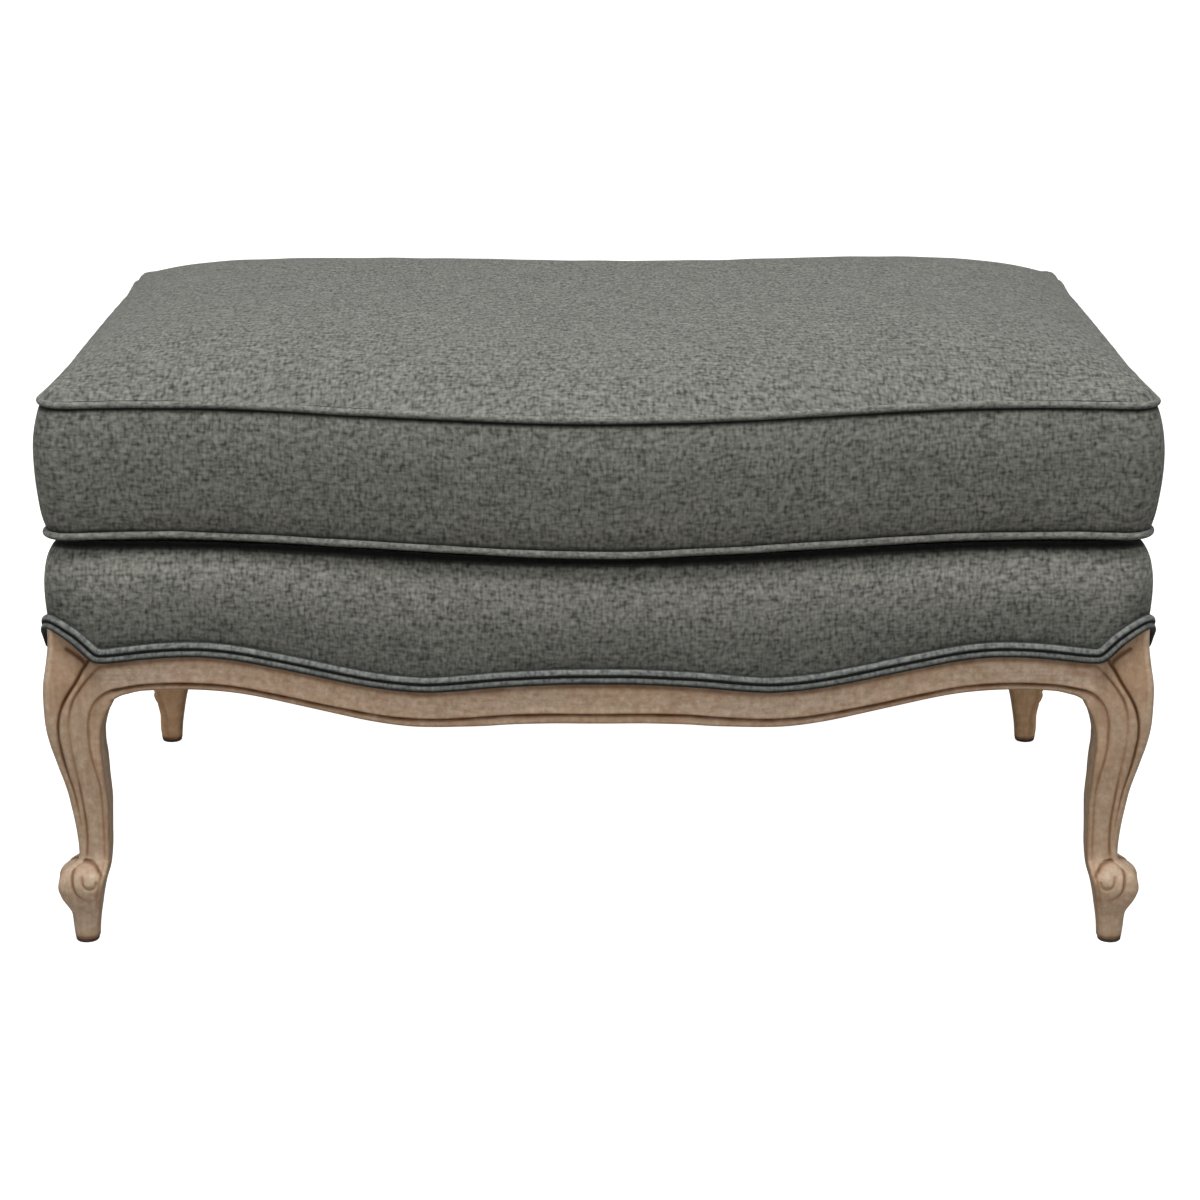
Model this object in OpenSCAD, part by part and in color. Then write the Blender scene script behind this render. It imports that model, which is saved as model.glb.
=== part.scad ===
// Upholstered footstool: a loose box cushion on a padded seat frame,
// four carved cabriole legs joined by shaped rails, and a double welt over the wood.

/* [Base] */
// Width over the padded base, just above the trim
base_w = 849; // [760:1:1000]
// Depth over the padded base between the front and rear corners
base_d = 539; // [470:1:640]
// How far the front of the base bows out at its middle
base_bow = 52; // [20:1:70]
// Corner radius of the padded base in plan
base_r = 20; // [14:1:30]
// Distance from a corner at which the front bow dies out
bow_end = 82; // [60:1:120]
// How far the padded band swells out between trim and top
base_swell = 4.2; // [0:0.1:8]

/* [Frame heights] */
// Height of the wood's upper edge at the elbows beside each leg
elbow_z = 236; // [215:1:270]
// Rise of the wood's upper edge from the elbow to the corner
corner_rise = 27; // [18:0.5:34]
// Distance from the corner to the elbow
elbow_run = 35; // [30:1:45]
// Rise of the wood's upper edge from the elbow to the crest of the wave
crest_rise = 5.6; // [0:0.1:8]
// Distance from the corner to the crest of the wave
crest_in = 112; // [90:1:160]
// Drop of the wood's upper edge from the elbow to the dip of the wave
dip_drop = 12.4; // [6:0.1:20]
// Distance from the middle of the long side to the dip of the wave
dip_at = 143; // [100:1:180]
// Drop of the wood's upper edge from the elbow at the middle of the long side
mid_drop = 0.2; // [0:0.1:10]
// Drop of the wood's upper edge from the elbow at the middle of the short side
side_drop = 8; // [0:0.1:14]
// Height of the seat rails above the elbow
rail_rise = 70; // [60:1:90]

/* [Rails] */
// Height of bare wood under the trim near the legs
show_end = 30.5; // [22:0.5:34]
// Height of bare wood under the trim at the middle
show_mid = 34.5; // [26:0.5:40]
// Distance from the middle over which the bare wood changes height
show_run = 160; // [130:1:280]
// Drop of the arch where a rail's lower edge turns into the leg
arch_drop = 5; // [2:0.5:10]
// Length of that arch
arch_run = 22; // [15:1:45]
// How far the rail's wood face stands back from the padded face
rail_back = 4; // [2:0.5:7]
// Depth of the rebate that takes the padding, from the padded face
rebate = 12.5; // [9:0.5:16]
// Thickness of a rail above the rebate
rail_t = 22; // [18:1:28]
// Chamfer on the rail's lower front edge
rail_chamfer = 2; // [1:0.5:4]

/* [Legs] */
// Distance from the padded face to the leg's centre line
leg_set = 17; // [15:0.5:20]
// Width of the leg's hidden post
post_w = 34; // [30:1:38]
// Radius of the foot at the floor
foot_r = 9.2; // [8:0.1:10.5]
// Height of the scroll foot's widest point
scroll_z = 48.5; // [44:0.5:54]
// Outward reach of the scroll foot from the leg's centre line
scroll_out = 19.6; // [15:0.1:23]
// Height of the ankle
ankle_z = 75; // [72:1:84]
// Outward reach of the ankle from the leg's centre line
ankle_out = 3.8; // [2:0.1:7]
// Inward reach of the ankle from the leg's centre line
ankle_in = 21.8; // [18:0.1:24]
// Distance of the knee below the elbow
knee_drop = 36; // [28:1:42]
// Outward reach of the knee from the leg's centre line
knee_out = 22.8; // [19:0.1:26]
// Outward reach of the leg's shoulder from the leg's centre line
shoulder_out = 18; // [17:0.1:21]
// Inward reach of the leg behind the knee
knee_in = 19; // [16:0.1:22]
// Radius of the round scroll carved on each outer face of the foot
volute_r = 10.5; // [8:0.5:11]
// How far the round scroll stands out of the foot
volute_h = 1.2; // [0.6:0.1:2]
// Thickness of the nail-on glide
glide_t = 3; // [2:0.5:4]
// Length of the glide's nail
glide_nail = 16; // [12:1:22]

/* [Frame fixings] */
// Diameter of a frame dowel
dowel_d = 9; // [6:0.5:10]
// Length of a frame dowel
dowel_l = 44; // [30:1:50]
// Spacing of the two dowels in a joint, up and down
dowel_gap = 30; // [24:1:36]
// Length of a corner block along each rail
block_leg = 62; // [54:1:80]
// Height of a corner block
block_h = 34; // [26:1:44]
// Diameter of a corner block screw
screw_d = 4; // [3:0.5:5]
// How deep a corner block screw bites into its rail
screw_bite = 16; // [10:1:17]

/* [Webbing and layers] */
// Width of a webbing strip
web_w = 60; // [45:1:70]
// Thickness of the webbing
web_t = 2; // [1.4:0.1:3]
// Number of strips that run from side to side
web_long = 3; // [2:1:4]
// Number of strips that run from front to back
web_cross = 6; // [4:1:7]
// Thickness of the burlap over the webbing
burlap_t = 0.8; // [0.5:0.1:1.5]
// Thickness of the foam pad under the deck cloth
deck_foam = 17; // [10:1:30]
// Thickness of the covering fabric
cloth_t = 1.2; // [0.8:0.1:1.6]
// Diameter of one cord of the double welt
trim_cord = 5.8; // [5:0.1:8]

/* [Cushion] */
// Width of the cushion at the middle of its short sides
cushion_w = 836; // [760:1:980]
// Depth of the cushion between its front and rear edges beside the corners
cushion_d = 542; // [470:1:640]
// How far the front of the cushion bows out at its middle
cushion_bow = 58; // [20:1:75]
// How far the cushion's corners stand out past its sides
corner_ear = 6; // [0:0.5:10]
// Length along the long side over which a corner stands out
ear_run = 60; // [40:1:90]
// Length along the short side over which a corner stands out
waist_run = 160; // [60:1:200]
// Corner radius of the cushion in plan
cushion_r = 19; // [14:1:30]
// Height of the boxing between its two seams
boxing_h = 102; // [70:1:130]
// How far the boxing swells out between its seams
boxing_swell = 6; // [2:0.5:10]
// Height of the lower seam above the cushion's flat underside
seam_lift = 8.5; // [7:0.5:12]
// Height of the crown above the upper seam
crown_h = 41; // [25:1:60]
// Distance from the front and rear edges over which the crown rises
crown_run = 42; // [25:1:70]
// Distance from the sides over which the crown rises
crown_side_run = 24; // [18:1:70]
// How much lower the crown is across its middle
crown_dip = 4; // [0:0.5:8]
// Radius of the cushion's single welt
welt_r = 2.9; // [2.4:0.1:4.5]

/* [Zip] */
// Half the length of the zip in the rear of the boxing
zip_half = 280; // [180:5:340]
// Height of the opening that the zip fills
zip_open = 16; // [12:1:22]
// Width of one row of zip coil
coil_h = 2.2; // [1.8:0.1:3]
// Thickness of the zip coil
coil_t = 1.8; // [1.2:0.1:2.4]
// Length of the zip slider
slider_l = 13; // [10:1:18]
// Length of the zip pull
pull_l = 24; // [16:1:30]

/* [Clearances] */
// Gap between pieces that lie against each other along a curve
fit = 0.5; // [0.3:0.1:0.8]
// Gap between the cushion and the deck
rest_gap = 0.3; // [0.2:0.1:0.5]
// Gap under the double welt, along the wood's upper edge
trim_gap = 0.8; // [0.5:0.1:1.5]

/* [Hidden] */
$fn = 32;
eps = 0.01;

wood = [0.57, 0.49, 0.42];
hidden_wood = [0.72, 0.60, 0.44];
fabric = [0.46, 0.47, 0.44];
fabric_dark = [0.36, 0.37, 0.34];
jute = [0.70, 0.58, 0.40];
steel = [0.62, 0.63, 0.65];

// Plan sizes
base_hw = base_w / 2;
base_hd = base_d / 2;
cushion_hw = cushion_w / 2;
cushion_hd = cushion_d / 2;
leg_x = base_hw - leg_set;
leg_y = base_hd - leg_set;
post_out = leg_set - rebate;
post_in = post_w - post_out;
rail_end_x = leg_x - post_in;
rail_end_y = leg_y - post_in;
rail_in = rebate + rail_t;
base_bow_half = base_hw - bow_end;
cushion_bow_half = cushion_hw + corner_ear - bow_end;
// Moves everything so that the middle of the overall depth lies over the origin
shift_y = (cushion_bow - corner_ear) / 2;

// Heights
frame_top = elbow_z + rail_rise;
knee_z = elbow_z - knee_drop;
web_top = frame_top + 2 * web_t;
burlap_top = web_top + burlap_t;
deck_under = burlap_top + deck_foam;
deck_top = deck_under + cloth_t;
cushion_z = deck_top + rest_gap;
seam_low = cushion_z + seam_lift;
seam_high = seam_low + boxing_h;
block_z = frame_top - block_h;
dust_z = block_z - cloth_t;

// Point counts: half a long side, half a short side, one corner
BASE_N = [11, 6, 4];
SOFT_N = [7, 4, 3];

function ease(a, b, t) = a + (b - a) * (1 - cos(180 * min(max(t, 0), 1))) / 2;
function spread(u) = sign(u) * (abs(u) + sin(90 * abs(u))) / 2;
function knots(list, z, i = 0) =
    i >= len(list) - 2 || z <= list[i + 1][0]
    ? ease(list[i][1], list[i + 1][1], (z - list[i][0]) / (list[i + 1][0] - list[i][0]))
    : knots(list, z, i + 1);

// A closed ring of points round a rounded rectangle, from the middle of the rear side
function corner(cx, cy, r, from, n) =
    [for (i = [0:n - 1]) [cx + r * cos(from + 90 * i / n), cy + r * sin(from + 90 * i / n)]];
function oblong(hw, hd, r, n) =
    let (x = hw - r, y = hd - r) concat(
        [for (i = [0:n[0] - 1]) [-x * spread(i / n[0]), hd]],
        corner(-x, y, r, 90, n[2]),
        [for (i = [0:2 * n[1] - 1]) [-hw, -y * spread(i / n[1] - 1)]],
        corner(-x, -y, r, 180, n[2]),
        [for (i = [0:2 * n[0] - 1]) [x * spread(i / n[0] - 1), -hd]],
        corner(x, -y, r, 270, n[2]),
        [for (i = [0:2 * n[1] - 1]) [hw, y * spread(i / n[1] - 1)]],
        corner(x, y, r, 0, n[2]),
        [for (i = [0:n[0] - 1]) [x * spread(1 - i / n[0]), hd]]
    );

// The bow of the front edge, 1 at its middle and 0 beyond its ends
function bow_at(x, half) = abs(x) < half ? (1 + cos(180 * x / half)) / 2 : 0;

function base_point(p, hd) =
    [p.x, p.y - base_bow * bow_at(p.x, base_bow_half) * (hd - p.y) / (2 * hd)];
// The padded base's outline, moved outward by g
function base_ring(g, n = BASE_N) =
    [for (p = oblong(base_hw + g, base_hd + g, max(base_r + g, 3), n)) base_point(p, base_hd + g)];

function cushion_point(p, hd) =
    let (
        flare_x = corner_ear / cushion_hw * ease(1, 0, (cushion_hd - abs(p.y)) / waist_run),
        flare_y = corner_ear / cushion_hd * ease(1, 0, (cushion_hw - abs(p.x)) / ear_run),
        bow = cushion_bow * bow_at(p.x, cushion_bow_half) * (hd - p.y) / (2 * hd)
    ) [p.x * (1 + flare_x), p.y * (1 + flare_y) - bow];
// The cushion's outline, moved outward by g
function cushion_ring(g, n = SOFT_N) =
    [for (p = oblong(cushion_hw + g, cushion_hd + g, max(cushion_r + g, 3), n))
        cushion_point(p, cushion_hd + g)];

// Height of the wood's upper edge, by the distance from the middle of a side
function wave_long(d) =
    let (crest_at = base_hw - crest_in)
    d < dip_at ? ease(elbow_z - mid_drop, elbow_z - dip_drop, d / dip_at)
    : d < crest_at ? ease(elbow_z - dip_drop, elbow_z + crest_rise, (d - dip_at) / (crest_at - dip_at))
    : ease(elbow_z + crest_rise, elbow_z, (d - crest_at) / (crest_in - elbow_run));
function wave_short(d) =
    let (crest_at = base_hd - crest_in)
    d < crest_at ? ease(elbow_z - side_drop, elbow_z + crest_rise, d / crest_at)
    : ease(elbow_z + crest_rise, elbow_z, (d - crest_at) / (crest_in - elbow_run));
// The same height at a point of the unbowed outline
function trim_z(p) =
    let (tx = base_hw - abs(p.x), ty = base_hd - abs(p.y), t = max(tx, ty, 0))
    t < elbow_run ? elbow_z + corner_rise * cos(90 * t / elbow_run)
    : tx > ty ? wave_long(abs(p.x)) : wave_short(abs(p.y));
TRIM_Z = [for (p = oblong(base_hw, base_hd, base_r, BASE_N)) trim_z(p)];

// Solids from rings of points
function lift(ring, z) = [for (p = ring) [p.x, p.y, z]];
function side_faces(n, m, wrap) =
    [for (i = [0:m - (wrap ? 1 : 2)], j = [0:n - 1])
        let (k = (j + 1) % n, low = i * n, high = ((i + 1) % m) * n)
        each [[low + j, high + k, low + k], [low + j, high + j, high + k]]];
// Rings in order, each counter-clockwise seen from the last one, capped by flat polygons
module loft(rings) {
    n = len(rings[0]);
    m = len(rings);
    polyhedron([for (r = rings) each r], concat(
        [[for (j = [0:n - 1]) j]],
        side_faces(n, m, false),
        [[for (j = [0:n - 1]) (m - 1) * n + n - 1 - j]]));
}
// The same, capped by fans to a given first and last point
module fan_loft(rings, first, last) {
    n = len(rings[0]);
    m = len(rings);
    polyhedron(concat([for (r = rings) each r], [first, last]), concat(
        [for (j = [0:n - 1]) [n * m, j, (j + 1) % n]],
        side_faces(n, m, false),
        [for (j = [0:n - 1]) [n * m + 1, (m - 1) * n + (j + 1) % n, (m - 1) * n + j]]));
}
// Rings joined last to first, as a closed hoop
module hoop(rings) {
    polyhedron([for (r = rings) each r], side_faces(len(rings[0]), len(rings), true));
}
module placed() {
    translate([0, shift_y, 0]) children();
}

// Legs
leg_out = [
    [0, foot_r], [scroll_z - 27, foot_r + 1.8], [scroll_z, scroll_out], [scroll_z + 12, scroll_out - 3],
    [ankle_z, ankle_out], [knee_z, knee_out], [elbow_z + corner_rise, shoulder_out]
];
leg_in = [
    [0, foot_r], [scroll_z - 30, foot_r + 1.6], [ankle_z - 2, ankle_in - 0.8],
    [(ankle_z + knee_z) / 2 - 22, ankle_in], [knee_z - 34, knee_in], [knee_z - 22, knee_in + 1],
    [knee_z + 1, post_in]
];
leg_round = [[0, foot_r - 0.5], [scroll_z - 20, foot_r - 1], [scroll_z, 9], [ankle_z, 5], [elbow_z, 4]];
LEG_STEPS = 24;
leg_last = elbow_z - 8;
ARC_N = 2;

// A quarter round about the corner (x, y) of a section, starting at the angle from
function leg_corner(x, y, r, from) = [for (i = [0:ARC_N])
    [x - sign(x) * r + r * cos(from + 90 * i / ARC_N), y - sign(y) * r + r * sin(from + 90 * i / ARC_N)]];
// A square section from -a to +b each way, its outer corner rounded by r and the others by s,
// with points along the two outer faces at the given stops
function leg_square(a, b, r, s, stops) = concat(
    leg_corner(b, b, r, 0),
    [for (f = stops) [f, b]],
    leg_corner(-a, b, s, 90), leg_corner(-a, -a, s, 180), leg_corner(b, -a, s, 270),
    [for (i = [len(stops) - 1:-1:0]) [b, stops[i]]]
);
function even_stops(a, b, r, s) = [for (f = [0.3, 0.55, 0.8]) (b - r) * (1 - f) + (s - a) * f];
// Behind the knee the outer faces fall back to the faces of the rails, all the way above flow_top
flow_top = knee_z - 13;
flow_low = (ankle_z + knee_z) / 2 - 24;
flow_from = leg_set / 4;
rail_face = leg_set - rail_back;
function flow_at(p, a, b, fall) = [
    p.x - fall * ease(0, 1, (flow_from - p.y) / (flow_from + a)) * (p.x + a) / (a + b),
    p.y - fall * ease(0, 1, (flow_from - p.x) / (flow_from + a)) * (p.y + a) / (a + b)];
function flowing(ring, a, b, z) =
    let (fall = max(b - rail_face, 0) * ease(0, 1, (z - flow_low) / (flow_top - flow_low)))
    [for (p = ring) flow_at(p, a, b, fall)];
elbow_stops = [for (f = [0.6, 0.8, 1]) leg_set - elbow_run * f];
function leg_ring(z) =
    let (a = knots(leg_in, z), b = knots(leg_out, z), r = knots(leg_round, z), s = min(r, 5))
    lift(flowing(leg_square(a, b, r, s, even_stops(a, b, r, s)), a, b, z), z);
// The shoulder falls outward a little, so that water and glue run off it
shoulder_fall = 0.3;
function shoulder_z(p) = trim_z([leg_x + p.x, leg_y + p.y]) - trim_gap;
module leg(side, end) {
    shoulder = flowing(leg_square(post_in, shoulder_out, 4, 1, elbow_stops), post_in, shoulder_out, elbow_z);
    outer = [for (p = shoulder) [p.x, p.y, shoulder_z(p)]];
    post = leg_square(post_in, post_out, base_r - rebate, 1, elbow_stops);
    inner = [for (p = post) [p.x, p.y, shoulder_z(p) + shoulder_fall]];
    rings = concat(
        [for (i = [0:LEG_STEPS]) leg_ring(glide_t + (leg_last - glide_t) * i / LEG_STEPS)],
        [outer, inner, lift(post, frame_top)]);
    color(wood) placed() mirror([side < 0 ? 1 : 0, 0, 0]) mirror([0, end < 0 ? 1 : 0, 0])
        translate([leg_x, leg_y, 0]) {
            loft(rings);
            for (turn = [0, 1]) mirror([turn, -turn, 0]) volute();
        }
}
// The round scroll on one outer face of the foot
module volute() {
    face = knots(leg_out, scroll_z);
    translate([-3.5, face - 4, scroll_z]) rotate([-90, 0, 0]) cylinder(r = volute_r, h = 4 + volute_h);
}
module leg_front_left() { leg(-1, -1); }
module leg_front_right() { leg(1, -1); }
module leg_rear_left() { leg(-1, 1); }
module leg_rear_right() { leg(1, 1); }

module glide(side, end) {
    color([0.16, 0.12, 0.10]) placed() translate([side * leg_x, end * leg_y, 0]) {
        cylinder(r1 = foot_r - 0.8, r2 = foot_r, h = 1);
        translate([0, 0, 1]) cylinder(r = foot_r, h = glide_t - 1);
        translate([0, 0, glide_t - eps]) cylinder(r = 1, h = glide_nail + eps);
    }
}
module glide_front_left() { glide(-1, -1); }
module glide_front_right() { glide(1, -1); }
module glide_rear_left() { glide(-1, 1); }
module glide_rear_right() { glide(1, 1); }

// Rails: a section of seven points swept between two posts
RAIL_STEPS = 34;
function rail_low(z, d, end) =
    z - ease(show_mid, show_end, d / show_run) - arch_drop * pow(max(0, 1 - (end - d) / arch_run), 3);
// Points as [inset from the padded face, height]
function rail_section(z, low) = [
    [rail_back + rail_chamfer, low], [rail_back, low + rail_chamfer], [rail_back, z],
    [rebate, z], [rebate, frame_top], [rail_in, frame_top], [rail_in, low]
];
function long_rail_ring(x, bow) =
    let (z = wave_long(abs(x)) - trim_gap, low = rail_low(z, abs(x), rail_end_x))
    [for (s = rail_section(z, low)) [x, -(base_hd - s[0]) - bow * bow_at(x, base_bow_half), s[1]]];
function short_rail_ring(y) =
    let (z = wave_short(abs(y)) - trim_gap, low = rail_low(z, abs(y), rail_end_y))
    [for (s = rail_section(z, low)) [base_hw - s[0], y, s[1]]];
module long_rail(bow) {
    loft([for (i = [0:RAIL_STEPS]) long_rail_ring(rail_end_x * (1 - 2 * i / RAIL_STEPS), bow)]);
}
module short_rail() {
    loft([for (i = [0:RAIL_STEPS]) short_rail_ring(rail_end_y * (1 - 2 * i / RAIL_STEPS))]);
}
module rail_front() { color(wood) placed() long_rail(base_bow); }
module rail_rear() { color(wood) placed() mirror([0, 1, 0]) long_rail(0); }
module rail_left() { color(wood) placed() mirror([1, 0, 0]) short_rail(); }
module rail_right() { color(wood) placed() short_rail(); }

// Two dowels in each of the eight rail ends
dowel_mid_z = (elbow_z + frame_top) / 2;
dowel_in = rebate + rail_t / 2;
// The pairs of a long and a short rail pass each other inside the post, at heights a quarter gap apart
module dowel_pair(shift) {
    for (k = [-0.5, 0.5]) translate([-dowel_l / 2, 0, dowel_mid_z + (k + shift) * dowel_gap])
        rotate([0, 90, 0]) cylinder(d = dowel_d, h = dowel_l);
}
module each_corner() {
    for (side = [-1, 1], end = [-1, 1]) mirror([side < 0 ? 1 : 0, 0, 0]) mirror([0, end < 0 ? 1 : 0, 0])
        children();
}
module frame_dowels() {
    color(hidden_wood) placed() each_corner() {
        translate([rail_end_x, base_hd - dowel_in, 0]) dowel_pair(-0.25);
        translate([base_hw - dowel_in, rail_end_y, 0]) rotate([0, 0, 90]) dowel_pair(0.25);
    }
}

// Corner blocks: a cut-off triangle behind each post, screwed to both rails
block_x = base_hw - rail_in;
block_y = base_hd - rail_in;
// The post's corner stands this far into the block's own corner
block_cut = max(block_x - rail_end_x, 0);
block_reach = block_cut + block_leg;
block_tip = 10;
screw_in = 17;
screw_l = screw_in + screw_bite;
module corner_block(side, end) {
    color(hidden_wood) placed() mirror([side < 0 ? 1 : 0, 0, 0]) mirror([0, end < 0 ? 1 : 0, 0])
        translate([block_x, block_y, block_z]) difference() {
            linear_extrude(block_h) polygon([
                [-block_cut - fit, -fit], [-block_reach, -fit], [-block_reach, -block_tip],
                [-block_tip, -block_reach], [-fit, -block_reach], [-fit, -block_cut - fit],
                [-block_cut - fit, -block_cut - fit]]);
            // Counterbores for the screw heads
            for (turn = [0, 1]) mirror([turn, -turn, 0])
                translate([screw_in - block_reach, -screw_in, block_h / 2]) rotate([90, 0, 0])
                    cylinder(r = screw_d + fit, h = block_reach);
        }
}
module corner_block_front_left() { corner_block(-1, -1); }
module corner_block_front_right() { corner_block(1, -1); }
module corner_block_rear_left() { corner_block(-1, 1); }
module corner_block_rear_right() { corner_block(1, 1); }

// One screw: head, then shank along +Z
module screw() {
    rotate_extrude() polygon([
        [0, 0], [screw_d, 0], [screw_d / 2, screw_d / 2],
        [screw_d / 2, screw_l - 6], [0.4, screw_l], [0, screw_l]]);
}
module corner_block_screws() {
    color(steel) placed() each_corner() for (turn = [0, 1])
        translate([block_x, block_y, block_z + block_h / 2])
        mirror([turn, -turn, 0])
        translate([screw_in - block_reach, -screw_in, 0]) rotate([-90, 0, 0]) screw();
}

// Jute webbing, woven over and under, tacked to the rail tops
web_inset = rebate + 5;
long_pitch = (base_d + base_bow / 2 - 2 * rail_in) / (web_long + 1);
cross_pitch = (base_w - 2 * rail_in) / (web_cross + 1);
function long_y(i) = (i - (web_long + 1) / 2) * long_pitch - base_bow / 4;
function cross_x(j) = (j - (web_cross + 1) / 2) * cross_pitch;
function cross_front(j) =
    web_inset - base_hd - base_bow * bow_at(abs(cross_x(j)) + web_w / 2, base_bow_half);
// Stations along a strip: flat at each crossing, over or under by turns
function strip_stops(places, over) = [
    for (k = [0:len(places) - 1], e = [-1, 1])
        [places[k] + e * (web_w / 2 + 3), (k + over) % 2 == 0 ? web_t : 0]];
function strip_box(s, half) = [
    [s[0], -half, s[1]], [s[0], half, s[1]], [s[0], half, s[1] + web_t], [s[0], -half, s[1] + web_t]];
module strip(from, to, places, over) {
    stops = concat([[from, 0]], strip_stops(places, over), [[to, 0]]);
    loft([for (s = stops) strip_box(s, web_w / 2)]);
}
module webbing_long(i) {
    end = base_hw - web_inset;
    color(jute) placed() translate([0, long_y(i), frame_top])
        strip(-end, end, [for (j = [1:web_cross]) cross_x(j)], i);
}
module webbing_cross(j) {
    color(jute) placed() translate([cross_x(j), 0, frame_top]) rotate([0, 0, 90])
        strip(cross_front(j), base_hd - web_inset, [for (i = [1:web_long]) long_y(i)], j + 1);
}
module webbing_long_1() { webbing_long(1); }
module webbing_long_2() { webbing_long(2); }
module webbing_long_3() { webbing_long(3); }
module webbing_cross_1() { webbing_cross(1); }
module webbing_cross_2() { webbing_cross(2); }
module webbing_cross_3() { webbing_cross(3); }
module webbing_cross_4() { webbing_cross(4); }
module webbing_cross_5() { webbing_cross(5); }
module webbing_cross_6() { webbing_cross(6); }

tack_head = 7;
tack_head_t = 1;
tack_l = 12;
module tack() {
    rotate_extrude($fn = 16) polygon([
        [0, -tack_l], [0.9, -tack_l + 4], [0.9, 0],
        [tack_head / 2, 0], [tack_head / 2, tack_head_t], [0, tack_head_t]]);
}
tack_in = rebate + rail_t / 2;
module webbing_tacks() {
    color([0.2, 0.2, 0.22]) placed() translate([0, 0, frame_top + web_t]) {
        for (i = [1:web_long], end = [-1, 1], k = [-1, 0, 1])
            translate([end * (base_hw - tack_in), long_y(i) + k * web_w / 3, 0]) tack();
        for (j = [1:web_cross], k = [-1, 0, 1]) {
            translate([cross_x(j) + k * web_w / 3, base_hd - tack_in, 0]) tack();
            translate([cross_x(j) + k * web_w / 3, cross_front(j) + tack_in - web_inset, 0]) tack();
        }
    }
}

// Flat layers cut to the outline
module layer(g, z, t, n = BASE_N) {
    translate([0, 0, z]) linear_extrude(t) polygon(base_ring(g, n));
}
module burlap() { color(jute) placed() layer(-rebate, web_top, burlap_t); }
module deck_foam_pad() { color([0.93, 0.90, 0.80]) placed() layer(-rebate, burlap_top, deck_foam); }

// The padded side of the base: profiles as [outward, height above the trim or from the top]
band_low = 4;
band_top_in = 9;
function swell(u) = base_swell * sin(180 * u);
function band_line(t) = concat(
    [for (u = [0, 0.3, 0.6]) [swell(u * 0.8 + 0.1) - t, u]],
    [[-2 - t * 0.9, 0.88], [-5.5 - t * 0.7, 0.97 - t * 0.004]]);
function band_height(k, u) = TRIM_Z[k] + band_low + (deck_top - TRIM_Z[k] - band_low) * u;
// Every profile point becomes one ring; its height follows the trim at each station
function band_ring(g, u) =
    let (r = base_ring(g)) [for (k = [0:len(r) - 1]) [r[k].x, r[k].y, band_height(k, u)]];
module base_band() {
    outer = concat([for (p = band_line(0)) band_ring(p[0], p[1])], [lift(base_ring(-band_top_in), deck_top)]);
    inner = concat([for (p = band_line(cloth_t)) band_ring(p[0], p[1])],
        [lift(base_ring(-band_top_in), deck_under)]);
    color(fabric) placed() hoop(concat(outer, [for (i = [len(inner) - 1:-1:0]) inner[i]]));
}
module edge_padding() {
    face = [for (p = band_line(cloth_t + fit)) band_ring(p[0], p[1])];
    inner_g = -rebate + 2 * fit;
    color([0.90, 0.88, 0.82]) placed() hoop(concat(
        [band_ring(inner_g, 0)], face, [lift(base_ring(inner_g), deck_under - 3)]));
}
module deck_cloth() {
    color(fabric_dark) placed() layer(-band_top_in - fit, deck_under, cloth_t);
}

// The double welt: two cords side by side in one cover, on the wood's upper edge
cord_r = trim_cord / 2;
trim_profile = concat(
    [[fit, 0]],
    [for (a = [-60, 0, 60]) [cord_r * 0.8 + cord_r * cos(a), cord_r + cord_r * sin(a)]],
    [[cord_r * 1.1, trim_cord]],
    [for (a = [-60, 0, 60]) [cord_r * 0.8 + cord_r * cos(a), trim_cord * 1.5 + cord_r * sin(a)]],
    [[fit, 2 * trim_cord]]);
module double_welt() {
    color([0.42, 0.44, 0.43]) placed() hoop([for (p = trim_profile)
        let (r = base_ring(p[0] + base_swell * 0.6))
        [for (k = [0:len(r) - 1]) [r[k].x, r[k].y, TRIM_Z[k] + p[1]]]]);
}

// Black cambric closing the frame from below, its edge turned down and tacked inside the rails
hem_h = 12;
dust_in = rail_in + fit;
module dust_outline(g) {
    difference() {
        polygon(base_ring(-dust_in - g, BASE_N));
        for (x = [-1, 1], y = [-1, 1]) translate([x * leg_x, y * leg_y])
            square(2 * (post_in + fit + g), center = true);
    }
}
module dust_cover() {
    color([0.10, 0.10, 0.11]) placed() translate([0, 0, dust_z]) {
        linear_extrude(cloth_t) dust_outline(0);
        translate([0, 0, -hem_h]) linear_extrude(hem_h) difference() {
            dust_outline(0);
            dust_outline(cloth_t);
        }
    }
}
dust_tacks = 5;
module dust_cover_tacks() {
    head = dust_in + cloth_t;
    color([0.2, 0.2, 0.22]) placed() translate([0, 0, dust_z - hem_h / 2])
        for (k = [-(dust_tacks - 1) / 2:(dust_tacks - 1) / 2]) {
            x = k * rail_end_x * 0.4;
            y = k * rail_end_y * 0.4;
            translate([x, base_hd - head, 0]) rotate([90, 0, 0]) tack();
            translate([x, head - base_hd - base_bow * bow_at(x, base_bow_half), 0])
                rotate([-90, 0, 0]) tack();
            for (side = [-1, 1]) translate([side * (base_hw - head), y, 0]) rotate([0, -90 * side, 0]) tack();
        }
}

// Cushion
function rise(d, run) = 1 - exp(-max(d, 0) / run);
// Height of the crown over the upper seam
function crown(p) =
    let (dx = cushion_hw - abs(p.x), dy = cushion_hd - abs(p.y))
    rise(dy, crown_run) * (crown_h * rise(dx, crown_side_run) - crown_dip * bow_at(p.x, cushion_hw));
// The ring at inset d on the crown, lowered by drop
function crown_ring(d, drop) =
    let (flat = oblong(cushion_hw - d, cushion_hd - d, max(cushion_r - d, 3), SOFT_N))
    [for (p = flat) let (q = cushion_point(p, cushion_hd - d)) [q.x, q.y, seam_high + crown(p) - drop]];
crown_peak = [0, -cushion_bow / 2, seam_high + crown([0, 0])];
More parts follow.
